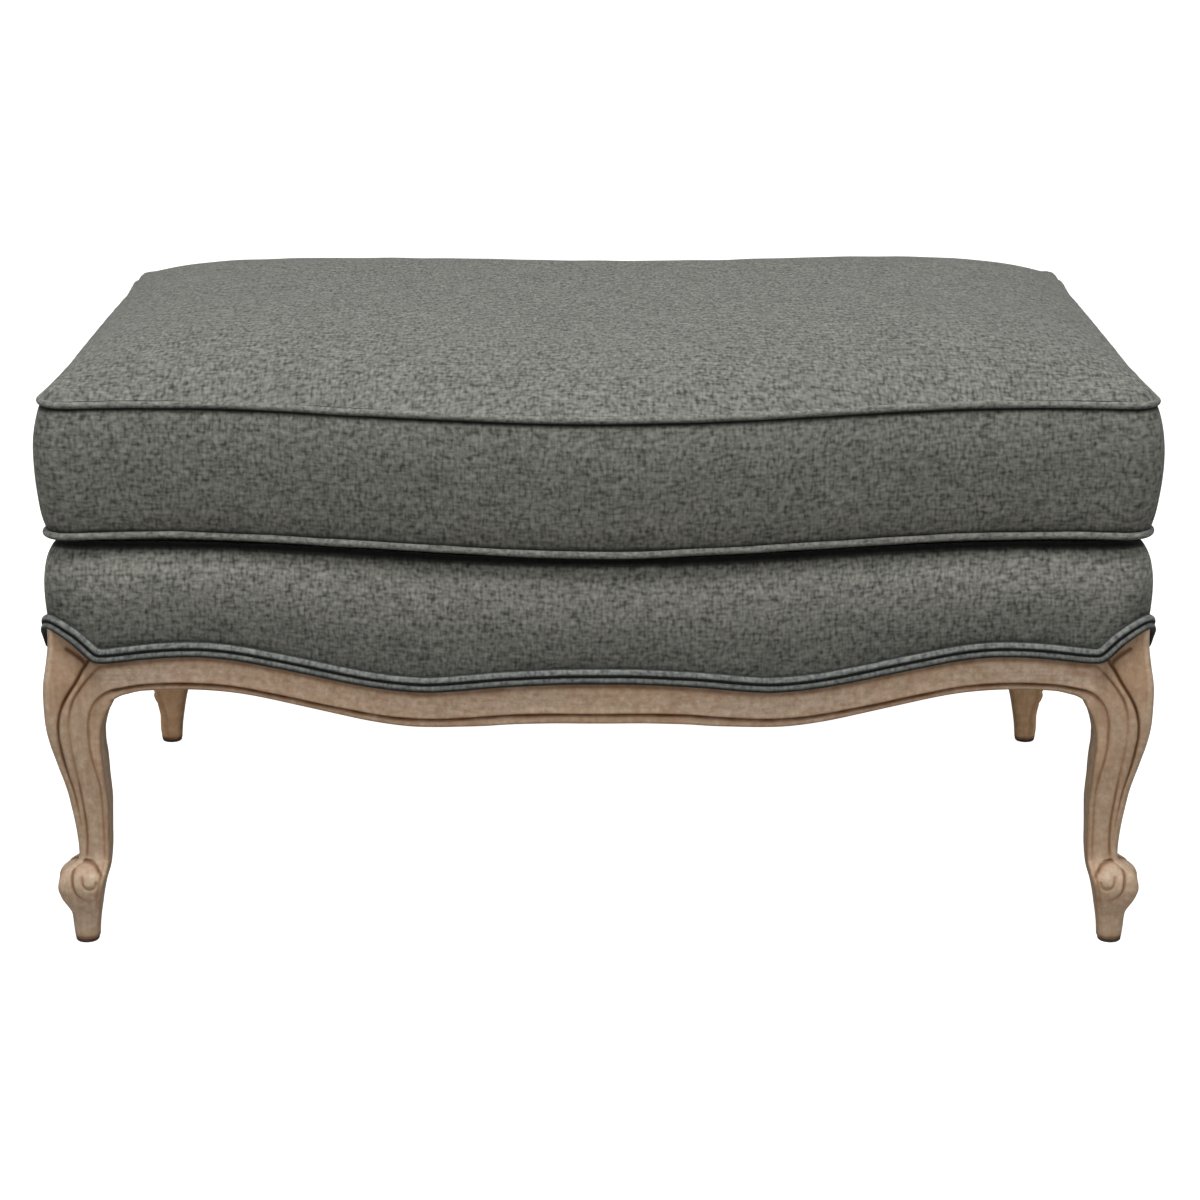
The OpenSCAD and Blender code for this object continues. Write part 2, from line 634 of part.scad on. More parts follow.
// Distance of the panels' cut edges inside the seam line
seam_in = 1.3;
TOP_INSETS = [seam_in, 9, 18, 30, 46, 68, 100, 145, 200];
module cushion_top_panel() {
    outer = [for (d = TOP_INSETS) crown_ring(d, 0)];
    inner = [for (d = [200, 120, 68, 30, 9, seam_in]) crown_ring(d, cloth_t)];
    color(fabric) placed() fan_loft(concat(inner, outer), crown_peak - [0, 0, cloth_t], crown_peak);
}
// Height of the underside at inset d, flat beyond the seam's roll
under_run = 34;
function under_z(d) = cushion_z + seam_lift * pow(max(0, 1 - d / under_run), 2);
function under_ring(d, up) = lift(cushion_ring(-d), under_z(d) + up);
module cushion_bottom_panel() {
    outer = [for (d = [under_run, 20, 9, seam_in]) under_ring(d, 0)];
    inner = [for (d = [seam_in, 9, 20, under_run]) under_ring(d, cloth_t)];
    low = [0, -cushion_bow / 2, cushion_z];
    color(fabric_dark) placed() fan_loft(concat(outer, inner), low, low + [0, 0, cloth_t]);
}

// The boxing: a thin strip between the seams, swept along part of the outline
function box_swell(u) = boxing_swell * pow(sin(180 * u), 0.8);
box_low = seam_low + seam_in * 2;
box_high = seam_high - seam_in * 2;
function box_z(u) = box_low + (box_high - box_low) * u;
zip_low = (box_low + box_high - zip_open) / 2;
zip_high = zip_low + zip_open;
function box_u(z) = (z - box_low) / (box_high - box_low);
// Rings round the outline at the heights u0 to u1, outer face then inner face
function strip_profile(u0, u1, n) = concat(
    [for (i = [0:n]) let (u = u0 + (u1 - u0) * i / n) [box_swell(u), box_z(u)]],
    [for (i = [n:-1:0]) let (u = u0 + (u1 - u0) * i / n) [box_swell(u) - cloth_t, box_z(u)]]);
// Sections at points of the outline; the strip with the zip is straight along the rear
function soft_stations(profile, keep) =
    let (rings = [for (s = profile) cushion_ring(s[0])])
    [for (k = keep) [for (i = [0:len(profile) - 1]) [rings[i][k].x, rings[i][k].y, profile[i][1]]]];
SOFT_COUNT = 4 * (SOFT_N[0] + SOFT_N[1] + SOFT_N[2]);
rear_y = cushion_hd;
function rear_section(x, profile) = [for (s = profile) [x, rear_y + s[0], s[1]]];
// The first station of the outline past the end of the zip
zip_first = [for (k = [0:SOFT_N[0]])
    if ((cushion_hw - cushion_r) * spread(k / SOFT_N[0]) > zip_half + 1) k][0];
module cushion_boxing() {
    profile = strip_profile(0, 1, 6);
    around = [for (k = [SOFT_COUNT - zip_first:-1:zip_first]) k];
    color(fabric) placed() loft(concat(
        [rear_section(zip_half, profile)],
        soft_stations(profile, around),
        [rear_section(-zip_half, profile)]));
}
module zip_band(u0, u1) {
    color(fabric) placed() translate([fit - zip_half, rear_y, 0]) rotate([90, 0, 90])
        linear_extrude(2 * (zip_half - fit)) polygon(strip_profile(u0, u1, 3));
}
module cushion_zip_band_upper() { zip_band(box_u(zip_high), 1); }
module cushion_zip_band_lower() { zip_band(0, box_u(zip_low)); }

// A single welt: a round cord in a fabric cover, on a seam
WELT_SIDES = 6;
module welt(z) {
    color(fabric) placed() hoop([for (i = [0:WELT_SIDES - 1])
        let (a = 360 * i / WELT_SIDES) lift(cushion_ring(welt_r * cos(a) + welt_g), z + welt_r * sin(a))]);
}
welt_g = welt_r - 1;
module cushion_top_welt() { welt(seam_high); }
module cushion_bottom_welt() { welt(seam_low); }

// Foam core and its fibre wrap, which meets in a line half-way up the core's sides
core_in = 22;
wrap_in = 5;
wrap_drop = cloth_t + 2.2;
core_low = cushion_z + cloth_t + 12;
core_high = seam_high - 4;
split_z = (core_low + core_high) / 2;
module cushion_foam_core() {
    color([0.95, 0.92, 0.80]) placed() translate([0, 0, core_low])
        linear_extrude(core_high - core_low) polygon(cushion_ring(-core_in));
}
module cushion_wrap_top() {
    inner = [for (p = [[200, core_high + fit], [core_in - fit, core_high + fit], [core_in - fit, split_z],
        [wrap_in, split_z], [wrap_in, seam_high - 8]]) lift(cushion_ring(-p[0]), p[1])];
    outer = [for (d = [9, 30, 68, 145]) crown_ring(d, wrap_drop)];
    color([0.97, 0.97, 0.95]) placed() fan_loft(concat(inner, outer),
        [0, -cushion_bow / 2, core_high + fit], crown_peak - [0, 0, wrap_drop]);
}
module cushion_wrap_bottom() {
    low = cushion_z + cloth_t + fit;
    profile = [[120, low], [under_run, low], [10, seam_low + 3], [wrap_in, seam_low + 10],
        [wrap_in, split_z - fit], [core_in - fit, split_z - fit],
        [core_in - fit, core_low - fit], [120, core_low - fit]];
    color([0.97, 0.97, 0.95]) placed() fan_loft([for (p = profile) lift(cushion_ring(-p[0]), p[1])],
        [0, -cushion_bow / 2, low], [0, -cushion_bow / 2, core_low - fit]);
}

// Zip: two tapes with a coil each, a slider between them and its pull
zip_y = rear_y + boxing_swell;
zip_mid = (zip_low + zip_high) / 2;
coil_gap = 0.9;
neck_t = 0.5;
tape_t = 0.8;
tape_end = 4;
// How far a tape reaches behind its band, and how deep it lies so that it clears the swell there
tape_lap = 3;
box_drop = boxing_swell - box_swell(box_u(zip_high + tape_lap)) + fit / 2;
tape_y = -cloth_t - tape_t - box_drop;
module zip_half_tape(up) {
    color([0.30, 0.31, 0.29]) placed() translate([0, zip_y, zip_mid]) mirror([0, 0, up ? 0 : 1]) {
        translate([tape_end - zip_half, tape_y, coil_gap / 2 + 0.6])
            cube([2 * (zip_half - tape_end), tape_t, zip_open / 2 + tape_lap]);
        translate([2 * tape_end - zip_half, tape_y + tape_t, coil_gap / 2])
            cube([2 * (zip_half - 2 * tape_end), coil_t, coil_h]);
    }
}
module zip_tape_upper() { zip_half_tape(true); }
module zip_tape_lower() { zip_half_tape(false); }
slider_x = zip_half - 2 * tape_end - slider_l;
slider_gap = 0.3;
plate_t = 1;
plate_h = coil_gap + 2 * coil_h + 2;
coil_face = zip_y + tape_y + tape_t + coil_t;
plate_y = coil_face + slider_gap;
// Where the pull's pin lies, and how thick pin and eye are
pin_y = plate_y + plate_t + 1.2;
pin_d = 0.9;
eye_w = 2.8;
ear_t = 1.2;
ear_x = eye_w / 2 + 0.2 + ear_t / 2;
module zip_slider() {
    back_y = zip_y + tape_y - slider_gap - plate_t;
    color([0.55, 0.55, 0.56]) placed() translate([slider_x, 0, zip_mid]) {
        for (y = [plate_y, back_y]) translate([-slider_l / 2, y, -plate_h / 2])
            cube([slider_l, plate_t, plate_h]);
        translate([-slider_l / 4, back_y + eps, -neck_t / 2])
            cube([slider_l / 2, plate_y - back_y + plate_t / 2, neck_t]);
        for (side = [-1, 1]) translate([side * ear_x - ear_t / 2, plate_y + eps, -1.5])
            cube([ear_t, pin_y + 1 - plate_y, 3]);
        translate([-ear_x, pin_y, 0]) rotate([0, 90, 0]) cylinder(d = pin_d, h = 2 * ear_x);
    }
}
pull_w = 5;
pull_t = 1;
eye_d = 2.2;
module zip_pull() {
    color([0.50, 0.50, 0.51]) placed() translate([slider_x, pin_y, zip_mid]) {
        difference() {
            union() {
                rotate([0, 90, 0]) translate([0, 0, -eye_w / 2]) cylinder(d = eye_d, h = eye_w);
                translate([-eye_w / 2, -pull_t / 2, -4]) cube([eye_w, pull_t, 4]);
            }
            rotate([0, 90, 0]) translate([0, 0, -eye_w]) cylinder(d = pin_d + 0.2, h = 2 * eye_w);
        }
        translate([-pull_w / 2, -pull_t / 2, -pull_l]) cube([pull_w, pull_t, pull_l - 3.9]);
    }
}

leg_front_left();
leg_front_right();
leg_rear_left();
leg_rear_right();
glide_front_left();
glide_front_right();
glide_rear_left();
glide_rear_right();
rail_front();
rail_rear();
rail_left();
rail_right();
frame_dowels();
corner_block_front_left();
corner_block_front_right();
corner_block_rear_left();
corner_block_rear_right();
corner_block_screws();
webbing_long_1();
webbing_long_2();
webbing_long_3();
webbing_cross_1();
webbing_cross_2();
webbing_cross_3();
webbing_cross_4();
webbing_cross_5();
webbing_cross_6();
webbing_tacks();
burlap();
deck_foam_pad();
edge_padding();
base_band();
deck_cloth();
double_welt();
dust_cover();
dust_cover_tacks();
cushion_foam_core();
cushion_wrap_top();
cushion_wrap_bottom();
cushion_top_panel();
cushion_bottom_panel();
cushion_boxing();
cushion_zip_band_upper();
cushion_zip_band_lower();
cushion_top_welt();
cushion_bottom_welt();
zip_tape_upper();
zip_tape_lower();
zip_slider();
zip_pull();
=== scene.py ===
"""Looks of the upholstered footstool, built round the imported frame."""

import math

import bpy
import numpy as np
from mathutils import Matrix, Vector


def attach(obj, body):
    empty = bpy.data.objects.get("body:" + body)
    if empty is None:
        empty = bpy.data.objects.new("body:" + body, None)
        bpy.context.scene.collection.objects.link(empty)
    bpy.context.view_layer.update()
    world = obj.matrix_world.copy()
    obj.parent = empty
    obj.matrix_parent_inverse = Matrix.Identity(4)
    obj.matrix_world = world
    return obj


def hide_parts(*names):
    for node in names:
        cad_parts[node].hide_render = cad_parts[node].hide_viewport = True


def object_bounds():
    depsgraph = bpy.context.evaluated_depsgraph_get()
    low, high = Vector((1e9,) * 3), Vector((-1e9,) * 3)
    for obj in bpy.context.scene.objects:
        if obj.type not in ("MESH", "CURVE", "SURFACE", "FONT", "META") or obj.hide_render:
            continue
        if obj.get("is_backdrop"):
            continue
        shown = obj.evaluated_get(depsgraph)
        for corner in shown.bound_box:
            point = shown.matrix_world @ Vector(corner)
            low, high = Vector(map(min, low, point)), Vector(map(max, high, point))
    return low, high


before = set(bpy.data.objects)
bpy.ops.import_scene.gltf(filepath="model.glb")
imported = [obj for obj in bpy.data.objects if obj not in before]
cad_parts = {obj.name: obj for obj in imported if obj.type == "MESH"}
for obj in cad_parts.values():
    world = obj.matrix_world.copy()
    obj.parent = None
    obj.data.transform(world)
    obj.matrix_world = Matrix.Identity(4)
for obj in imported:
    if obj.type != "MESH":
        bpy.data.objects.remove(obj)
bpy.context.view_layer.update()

# Sizes in mm, as the frame has them
BASE_HW, BASE_HD, BASE_BOW, BASE_R, BOW_END = 424.5, 269.5, 52.0, 20.0, 82.0
ELBOW_Z, CORNER_RISE, ELBOW_RUN, CREST_RISE, CREST_IN, SIDE_DROP = 236.0, 27.5, 35.0, 5.6, 112.0, 8.0
FRAME_TOP = 306.0
LEG_IN = 17.0
LEG_X, LEG_Y = BASE_HW - LEG_IN, BASE_HD - LEG_IN
POST_IN = 29.5
RAIL_BACK, REBATE, RAIL_IN = 4.0, 12.5, 34.5
RAIL_END_X, RAIL_END_Y = LEG_X - POST_IN, LEG_Y - POST_IN
DECK_TOP, BURLAP_Z, PAD_LOW, PAD_TOP = 329.0, 310.05, 310.9, 327.5
DUST_Z, DUST_SAG = 270.8, 2.5
GLIDE_TOP = 3.0
CUSHION_HW, CUSHION_HD, CUSHION_BOW, CUSHION_R = 418.0, 271.0, 58.0, 22.0
EAR_X, EAR_Y, EAR_RUN, WAIST_RUN, EAR = 4.6, 6.0, 60.0, 115.0, 6.0
CUSHION_Z = 329.3
SEAM_LOW, SEAM_HIGH = 337.8, 439.8
ZIP_LOW, ZIP_HIGH, ZIP_END = 380.8, 396.8, 280.0
WELT_R = 2.8
CORD = 5.8
TRIM_GAP = 0.3
SHIFT_Y = BASE_BOW / 2
# The cushion's crown, how far in from its ends and sides it rises, and its dips (depth, middle, half width)
CROWN, CROWN_RUN_X, CROWN_RUN_Y = 43.5, 58.0, 42.0
CROWN_DIPS = [(4.6, 0.0, 290.0), (1.5, -12.0, 120.0)]


def unit(x):
    return np.clip(x, 0, 1)


def ease(a, b, t):
    t = unit(t)
    return a + (b - a) * (1 - np.cos(np.pi * t)) / 2


def rise(t):
    """A smooth step from 0 to 1 as t goes from 0 to 1."""
    return ease(0, 1, t)


def knots(table, x):
    """A smooth curve through the table's (place, value) rows, without overshoot."""
    xs, vs = np.array(table, float).T
    slopes = np.diff(vs) / np.diff(xs)
    m = np.concatenate([[slopes[0]], (slopes[:-1] + slopes[1:]) / 2, [slopes[-1]]])
    flat = slopes[:-1] * slopes[1:] <= 0
    m[1:-1][flat] = 0
    x = np.clip(np.asarray(x, float), xs[0], xs[-1])
    i = np.clip(np.searchsorted(xs, x) - 1, 0, len(xs) - 2)
    h = xs[i + 1] - xs[i]
    t = (x - xs[i]) / h
    return (
        vs[i] * (1 + 2 * t) * (1 - t) ** 2
        + m[i] * h * t * (1 - t) ** 2
        + vs[i + 1] * t * t * (3 - 2 * t)
        + m[i + 1] * h * t * t * (t - 1)
    )


def waves(points, size, seed, octaves=3):
    """Soft unevenness between about -1 and 1: sums of sines of about that wavelength in mm."""
    rng = np.random.default_rng(seed)
    total = np.zeros(points.shape[:-1])
    for k in range(octaves):
        for _ in range(5):
            turn = rng.normal(size=3)
            turn *= 2 * np.pi / (size / 2**k) / np.linalg.norm(turn) * rng.uniform(0.7, 1.3)
            total += np.sin(points @ turn + rng.uniform(0, 2 * np.pi)) * 0.3 / 1.7**k
    return total


# Outlines in plan
def oblong(hw, hd, r, n):
    """A closed ring round a rounded rectangle, anticlockwise from the middle of the rear. n has the steps
    in half a long side, half a short side and a corner."""
    x, y = hw - r, hd - r

    def line(a, b, k):
        t = np.arange(k)[:, None] / k
        return np.array(a) * (1 - t) + np.array(b) * t

    def corner(cx, cy, start):
        t = np.radians(start + 90 * np.arange(n[2]) / n[2])
        return np.stack([cx + r * np.cos(t), cy + r * np.sin(t)], 1)

    return np.concatenate(
        [
            line((0, hd), (-x, hd), n[0]), corner(-x, y, 90),
            line((-hw, y), (-hw, -y), 2 * n[1]), corner(-x, -y, 180),
            line((-x, -hd), (x, -hd), 2 * n[0]), corner(x, -y, 270),
            line((hw, -y), (hw, y), 2 * n[1]), corner(x, y, 0),
            line((x, hd), (0, hd), n[0]),
        ]
    )


def bow_at(x, half):
    return np.where(np.abs(x) < half, (1 + np.cos(np.pi * x / half)) / 2, 0)


def base_ring(g, n):
    """The base's bowed outline, g mm further out."""
    hd = BASE_HD + g
    x, y = oblong(BASE_HW + g, hd, max(BASE_R + g, 3), n).T
    bow = BASE_BOW * bow_at(x, BASE_HW - BOW_END) * (hd - y) / (2 * hd)
    return np.stack([x, y - bow], -1)


def cushion_warp(p, hd):
    x, y = p[..., 0], p[..., 1]
    flare_x = EAR_X / CUSHION_HW * ease(1, 0, (CUSHION_HD - np.abs(y)) / WAIST_RUN)
    flare_y = EAR_Y / CUSHION_HD * ease(1, 0, (CUSHION_HW - np.abs(x)) / EAR_RUN)
    bow = CUSHION_BOW * bow_at(x, CUSHION_HW + EAR - BOW_END) * (hd - y) / (2 * hd)
    return np.stack([x * (1 + flare_x), y * (1 + flare_y) - bow], -1)


def cushion_ring(g, n):
    flat = oblong(CUSHION_HW + g, CUSHION_HD + g, max(CUSHION_R + g, 3), n)
    return cushion_warp(flat, CUSHION_HD + g)


# Heights along the front and rear by the distance from the middle: the wood's upper edge,
# the rail's groove and its lower edge
TOP_LINE = [
    (0, 235.8), (23, 235.5), (44, 234.2), (60, 232.8), (78, 230.9), (97, 228.2), (115, 225.6), (130, 224),
    (143, 223.7), (160, 224.2), (174, 225.2), (200, 228.4), (225, 232.2), (251, 236), (271, 239),
    (290, 241), (308, 241.8), (325, 241.4), (345, 240), (361, 238.3), (375, 236.6), (389.5, 236),
]
GROOVE_LINE = [
    (0, 208), (32, 207.9), (50, 207.2), (69, 205.9), (87, 203.6), (106, 201.2), (124, 199.3), (143, 198.5),
    (160, 198.7), (180, 200.4), (199, 202.8), (218, 205.4), (237, 208.5), (256, 211.4), (274, 214.2),
    (293, 216.1), (320, 216.9), (349, 215.9), (359, 214.9), (368, 213.3), (378, 211.2),
]
LOW_LINE = [
    (0, 200.5), (32, 200.3), (50, 199.5), (69, 198.1), (87, 196), (106, 194.3), (124, 192.8), (143, 191.9),
    (160, 192.5), (180, 194.4), (199, 197.2), (218, 200.2), (237, 203.3), (256, 206.5), (274, 209.1),
    (293, 210.8), (320, 211.6), (346, 210.7), (357.6, 209.7), (364, 208.1), (371.7, 205.9), (378, 202.2),
]


def wave_short(d):
    crest = BASE_HD - CREST_IN
    return np.where(
        d < crest,
        ease(ELBOW_Z - SIDE_DROP, ELBOW_Z + CREST_RISE, d / crest),
        ease(ELBOW_Z + CREST_RISE, ELBOW_Z, (d - crest) / (CREST_IN - ELBOW_RUN)),
    )


def trim_z(p):
    """Height of the wood's upper edge at points of the unbowed outline."""
    x, y = np.abs(p[..., 0]), np.abs(p[..., 1])
    tx, ty = BASE_HW - x, BASE_HD - y
    t = np.maximum(np.maximum(tx, ty), 0)
    level = np.where(tx > ty, knots(TOP_LINE, x), wave_short(y))
    climb = np.cos(np.pi / 2 * np.minimum(t / ELBOW_RUN, 1)) ** 1.2
    return np.where(t < ELBOW_RUN, ELBOW_Z + CORNER_RISE * climb, level)


def crown(p):
    """How far the cushion's top rises above its seam."""
    x = p[..., 0]
    in_x, in_y = CUSHION_HW - np.abs(x), CUSHION_HD - np.abs(p[..., 1])
    rise_x = np.sqrt(1 - np.exp(-np.maximum(in_x, 0) / CROWN_RUN_X))
    rise_y = 1 - np.exp(-np.maximum(in_y, 0) / CROWN_RUN_Y)
    return rise_y * (CROWN * rise_x - sum(dip * bow_at(x - mid, half) for dip, mid, half in CROWN_DIPS))


# Meshes from grids of points
def lift(ring, z):
    return np.concatenate([ring, np.broadcast_to(z, ring.shape[:-1])[..., None]], -1)


def arc_lengths(ring):
    """Distance along a closed ring at each point, and its whole length at the end."""
    steps = np.linalg.norm(np.roll(ring, -1, 0) - ring, axis=1)
    return np.concatenate([[0], np.cumsum(steps)])


def pairs(along, across):
    """Points with a row of first values and a row of second ones, or one for all."""
    return np.stack([along, np.broadcast_to(across, along.shape)], 1)


def plan_uv(rows):
    """Texture places in mm of a level grid that closes round."""
    return np.concatenate([rows, rows[:, :1]], 1)[..., :2]


def outward(step):
    """Level unit vectors to the right of steps along a ring, which is its outer side."""
    side = np.stack([step[..., 1], -step[..., 0]], -1)
    return side / np.linalg.norm(side, axis=-1, keepdims=True)


def along_ring(ring, axis=0):
    """The way from each point's neighbour behind to the one ahead."""
    return np.roll(ring, -1, axis) - np.roll(ring, 1, axis)


def smoothed(ring, reach, width):
    """Values along a closed ring, averaged with their neighbours."""
    weights = np.exp(-((np.arange(-reach, reach + 1) / width) ** 2))
    weights /= weights.sum()
    return sum(w * np.roll(ring, k - reach, 0) for k, w in enumerate(weights))


def patch(points, uv=None, around=False, over=False, flip=False, glaze_and_shade=None):
    """A grid of quads over points (rows, columns, 3) in mm. around closes the columns, over the rows.
    uv is (rows, columns, 2) in mm, with one more where the grid closes."""
    points = np.stack(points)
    m, n = points.shape[:2]
    rows, cols = m if over else m - 1, n if around else n - 1
    i, j = np.meshgrid(np.arange(rows), np.arange(cols), indexing="ij")
    i, j = i.ravel(), j.ravel()
    i1, j1 = i + 1, j + 1
    quads = np.stack([i * n + j, i * n + j1 % n, (i1 % m) * n + j1 % n, (i1 % m) * n + j], 1)
    uv = np.zeros((rows + 1, cols + 1, 2)) if uv is None else np.stack(uv)
    corners = np.stack([uv[i, j], uv[i, j1], uv[i1, j1], uv[i1, j]], 1)
    if flip:
        quads, corners = quads[:, ::-1], corners[:, ::-1]
    marks = np.zeros(m * n) if glaze_and_shade is None else np.broadcast_to(glaze_and_shade, (m, n)).ravel()
    return {"points": points.reshape(-1, 3), "quads": quads, "uv": corners, "glaze_and_shade": marks}


def fan(ring, centre, flip=False, glaze_and_shade=0.0):
    """Triangles from a ring of points to a centre, as quads with a doubled corner."""
    n = len(ring)
    j = np.arange(n)
    faces = np.stack([j, (j + 1) % n, np.full(n, n)], 1)
    points = np.concatenate([ring, [centre]])
    uv = points[:, :2][faces]
    if flip:
        faces, uv = faces[:, ::-1], uv[:, ::-1]
    return {"points": points, "quads": faces, "uv": uv, "glaze_and_shade": np.full(n + 1, glaze_and_shade)}


def capped(points, uv, glaze_and_shade, end_glaze, flip):
    """A tube of rings with its ends closed."""
    return [
        patch(points, uv, around=True, glaze_and_shade=glaze_and_shade, flip=not flip),
        fan(points[0], points[0].mean(0), flip, end_glaze),
        fan(points[-1], points[-1].mean(0), not flip, end_glaze),
    ]


def link(obj):
    bpy.context.scene.collection.objects.link(obj)
    return obj


def make(name, patches, material, sharp=None):
    """One object from patches, with points that coincide joined."""
    faces, start = [], 0
    for p in patches:
        faces += (p["quads"] + start).tolist()
        start += len(p["points"])
    points, marks = (np.concatenate([p[key] for p in patches]) for key in ("points", "glaze_and_shade"))
    uv = np.concatenate([p["uv"].reshape(-1, 2) for p in patches]) / 1000
    _, first, where = np.unique(np.round(points, 3), axis=0, return_index=True, return_inverse=True)
    where = where.ravel()
    points, marks = points[first] + [0, SHIFT_Y, 0], marks[first]
    kept_faces, kept_uv, at = [], [], 0
    for f in faces:
        new = [int(where[v]) for v in f]
        size = len(f)
        keep = [k for k in range(size) if new[k] != new[(k + 1) % size]]
        if len(keep) >= 3 and len({new[k] for k in keep}) == len(keep):
            kept_faces.append([new[k] for k in keep])
            kept_uv += [uv[at + k] for k in keep]
        at += size
    mesh = bpy.data.meshes.new(name)
    mesh.from_pydata((points / 1000).tolist(), [], kept_faces)
    layer = mesh.uv_layers.new(name="weave")
    layer.uv.foreach_set("vector", np.array(kept_uv, np.float32).ravel())
    # Per point, how far the colour is darkened: brown glaze in the wood's carving, and painted shade in
    # creases, recesses and under parts
    attribute = mesh.attributes.new("glaze_and_shade", "FLOAT", "POINT")
    attribute.data.foreach_set("value", marks.astype(np.float32))
    mesh.validate()
    obj = link(bpy.data.objects.new(name, mesh))
    mesh.polygons.foreach_set("use_smooth", np.ones(len(mesh.polygons), bool))
    if sharp:
        mesh.set_sharp_from_angle(angle=math.radians(sharp))
    mesh.materials.append(material)
    return obj


def dress(obj, body, slot, *nodes):
    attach(obj, body)
    if nodes:
        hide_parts(*nodes)
    return obj


# Materials
def linear(colour):
    """The linear colour of an sRGB one in 255ths. A socket stays as it is."""
    if hasattr(colour, "links"):
        return colour
    shares = [c / 255 for c in colour]
    return [c / 12.92 if c <= 0.04045 else ((c + 0.055) / 1.055) ** 2.4 for c in shares] + [1.0]


class Shader:
    """A material and short ways to add nodes to it."""

    def __init__(self, name, roughness=0.6, metallic=0.0):
        self.material = bpy.data.materials.new(name)
        self.material.use_nodes = True
        self.tree = self.material.node_tree
        self.out = self.tree.nodes["Principled BSDF"]
        self.surface(Roughness=roughness, Metallic=metallic)

    def put(self, socket, value):
        if hasattr(value, "links"):
            self.tree.links.new(value, socket)
        elif value is not None:
            socket.default_value = value

    def node(self, kind, out=0, inputs=None, **settings):
        made = self.tree.nodes.new("ShaderNode" + kind)
        for key, value in settings.items():
            setattr(made, key, value)
        for key, value in (inputs or {}).items():
            self.put(made.inputs[key], value)
        return made.outputs[out]

    def math(self, operation, a, b=None, c=None, clamp=False):
        values = {k: v for k, v in enumerate((a, b, c)) if v is not None}
        return self.node("Math", inputs=values, operation=operation, use_clamp=clamp)

    def times(self, a, b, clamp=False):
        return self.math("MULTIPLY", a, b, clamp=clamp)

    def plus(self, a, b):
        return self.math("ADD", a, b)

    def vector(self, x, y, z=0.0):
        return self.node("CombineXYZ", inputs={0: x, 1: y, 2: z})

    def split(self, vector):
        made = self.tree.nodes.new("ShaderNodeSeparateXYZ")
        self.put(made.inputs[0], vector)
        return made.outputs

    def noise(self, vector, scale=1.0, detail=2.0, roughness=0.5):
        steer = {"Vector": vector, "Scale": scale, "Detail": detail, "Roughness": roughness}
        return self.node("TexNoise", inputs=steer)

    def scaled(self, vector, x, y, z=1.0):
        return self.node("Mapping", inputs={"Vector": vector, "Scale": (x, y, z)})

    def span(self, value, low, high, to_low=0.0, to_high=1.0):
        return self.node("MapRange", inputs={0: value, 1: low, 2: high, 3: to_low, 4: to_high})

    def mix(self, factor, a, b):
        """From colour a to colour b. Each is a socket or an sRGB colour in 255ths."""
        return self.node("Mix", 2, {0: factor, 6: linear(a), 7: linear(b)}, data_type="RGBA")

    def bump(self, height, distance, strength=1.0, normal=None):
        steer = {"Height": height, "Distance": distance, "Strength": strength, "Normal": normal}
        return self.node("Bump", inputs=steer)

    def surface(self, **values):
        """Sets or links the surface's inputs, by their names."""
        for name, value in values.items():
            self.put(self.out.inputs[name.replace("_", " ")], value)

    def finish(self, colour, normal=None, roughness=None):
        self.surface(Base_Color=colour, Normal=normal, Roughness=roughness)
        return self.material


def cloth(s, place, u, v, dark, light, fleck, pitch, fuzz, contrast, relief):
    """A plain weave of uneven, heathered yarn. pitch is the thread spacing in mm."""
    bend = s.math("MULTIPLY_ADD", s.noise(place, 60.0, 2.0), 0.0012, -0.0006)
    u, v = s.plus(u, bend), s.plus(v, bend)
    step = pitch / 1000
    threads = []
    for along, across, salt in ((u, v, 3.1), (v, u, 8.7)):
        count = s.math("DIVIDE", across, step)
        row = s.math("FLOOR", count)
        run = s.vector(s.times(along, 95.0), s.times(row, 7.31), salt)
        arch = s.math("SINE", s.times(s.math("FRACT", count), math.pi))
        threads.append((row, s.noise(run, 1.0, 3.0, 0.6), arch))
    (row_v, tone_u, arch_u), (row_u, tone_v, arch_v) = threads
    over = s.math("FLOORED_MODULO", s.plus(row_v, row_u), 2.0)
    tone = s.node("Mix", inputs={0: over, 2: tone_u, 3: tone_v})
    arch = s.node("Mix", inputs={0: over, 2: arch_u, 3: arch_v})

    def spots(scale_u, scale_v, salt, detail=0.0):
        return s.noise(s.vector(s.times(u, scale_u), s.times(v, scale_v), salt), 1.0, detail)

    # Slubs a few threads wide both ways, and blotches
    slub_u, slub_v = spots(150.0, 430.0, 1.7), spots(430.0, 150.0, 5.9)
    blotch, cloud = spots(330.0, 330.0, 9.3, 1.0), s.noise(place, 20.0, 2.0)
    # The last part paints the threads' crowns a little lighter, a small painted highlight
    value = 0.5
    for part, middle, weight in (
        (tone, 0.5, 0.55), (slub_u, 0.5, 1.3), (slub_v, 0.5, 1.4), (blotch, 0.5, 1.9), (cloud, 0.5, 0.3),
        (arch, 0.64, 0.14),
    ):
        value = s.plus(value, s.times(s.math("SUBTRACT", part, middle), weight * contrast))
    value = s.math("MAXIMUM", s.math("MINIMUM", value, 1.0), 0.0)
    colour = s.mix(value, dark, light)
    colour = s.mix(s.span(s.math("MINIMUM", slub_u, slub_v), 0.34, 0.26, 0.0, 0.2), colour, fleck)
    height = s.plus(s.times(arch, 0.6), s.times(value, 0.6))
    s.surface(Sheen_Weight=fuzz, Sheen_Roughness=0.5, Specular_IOR_Level=0.12)
    return colour, s.bump(height, relief, 0.8)


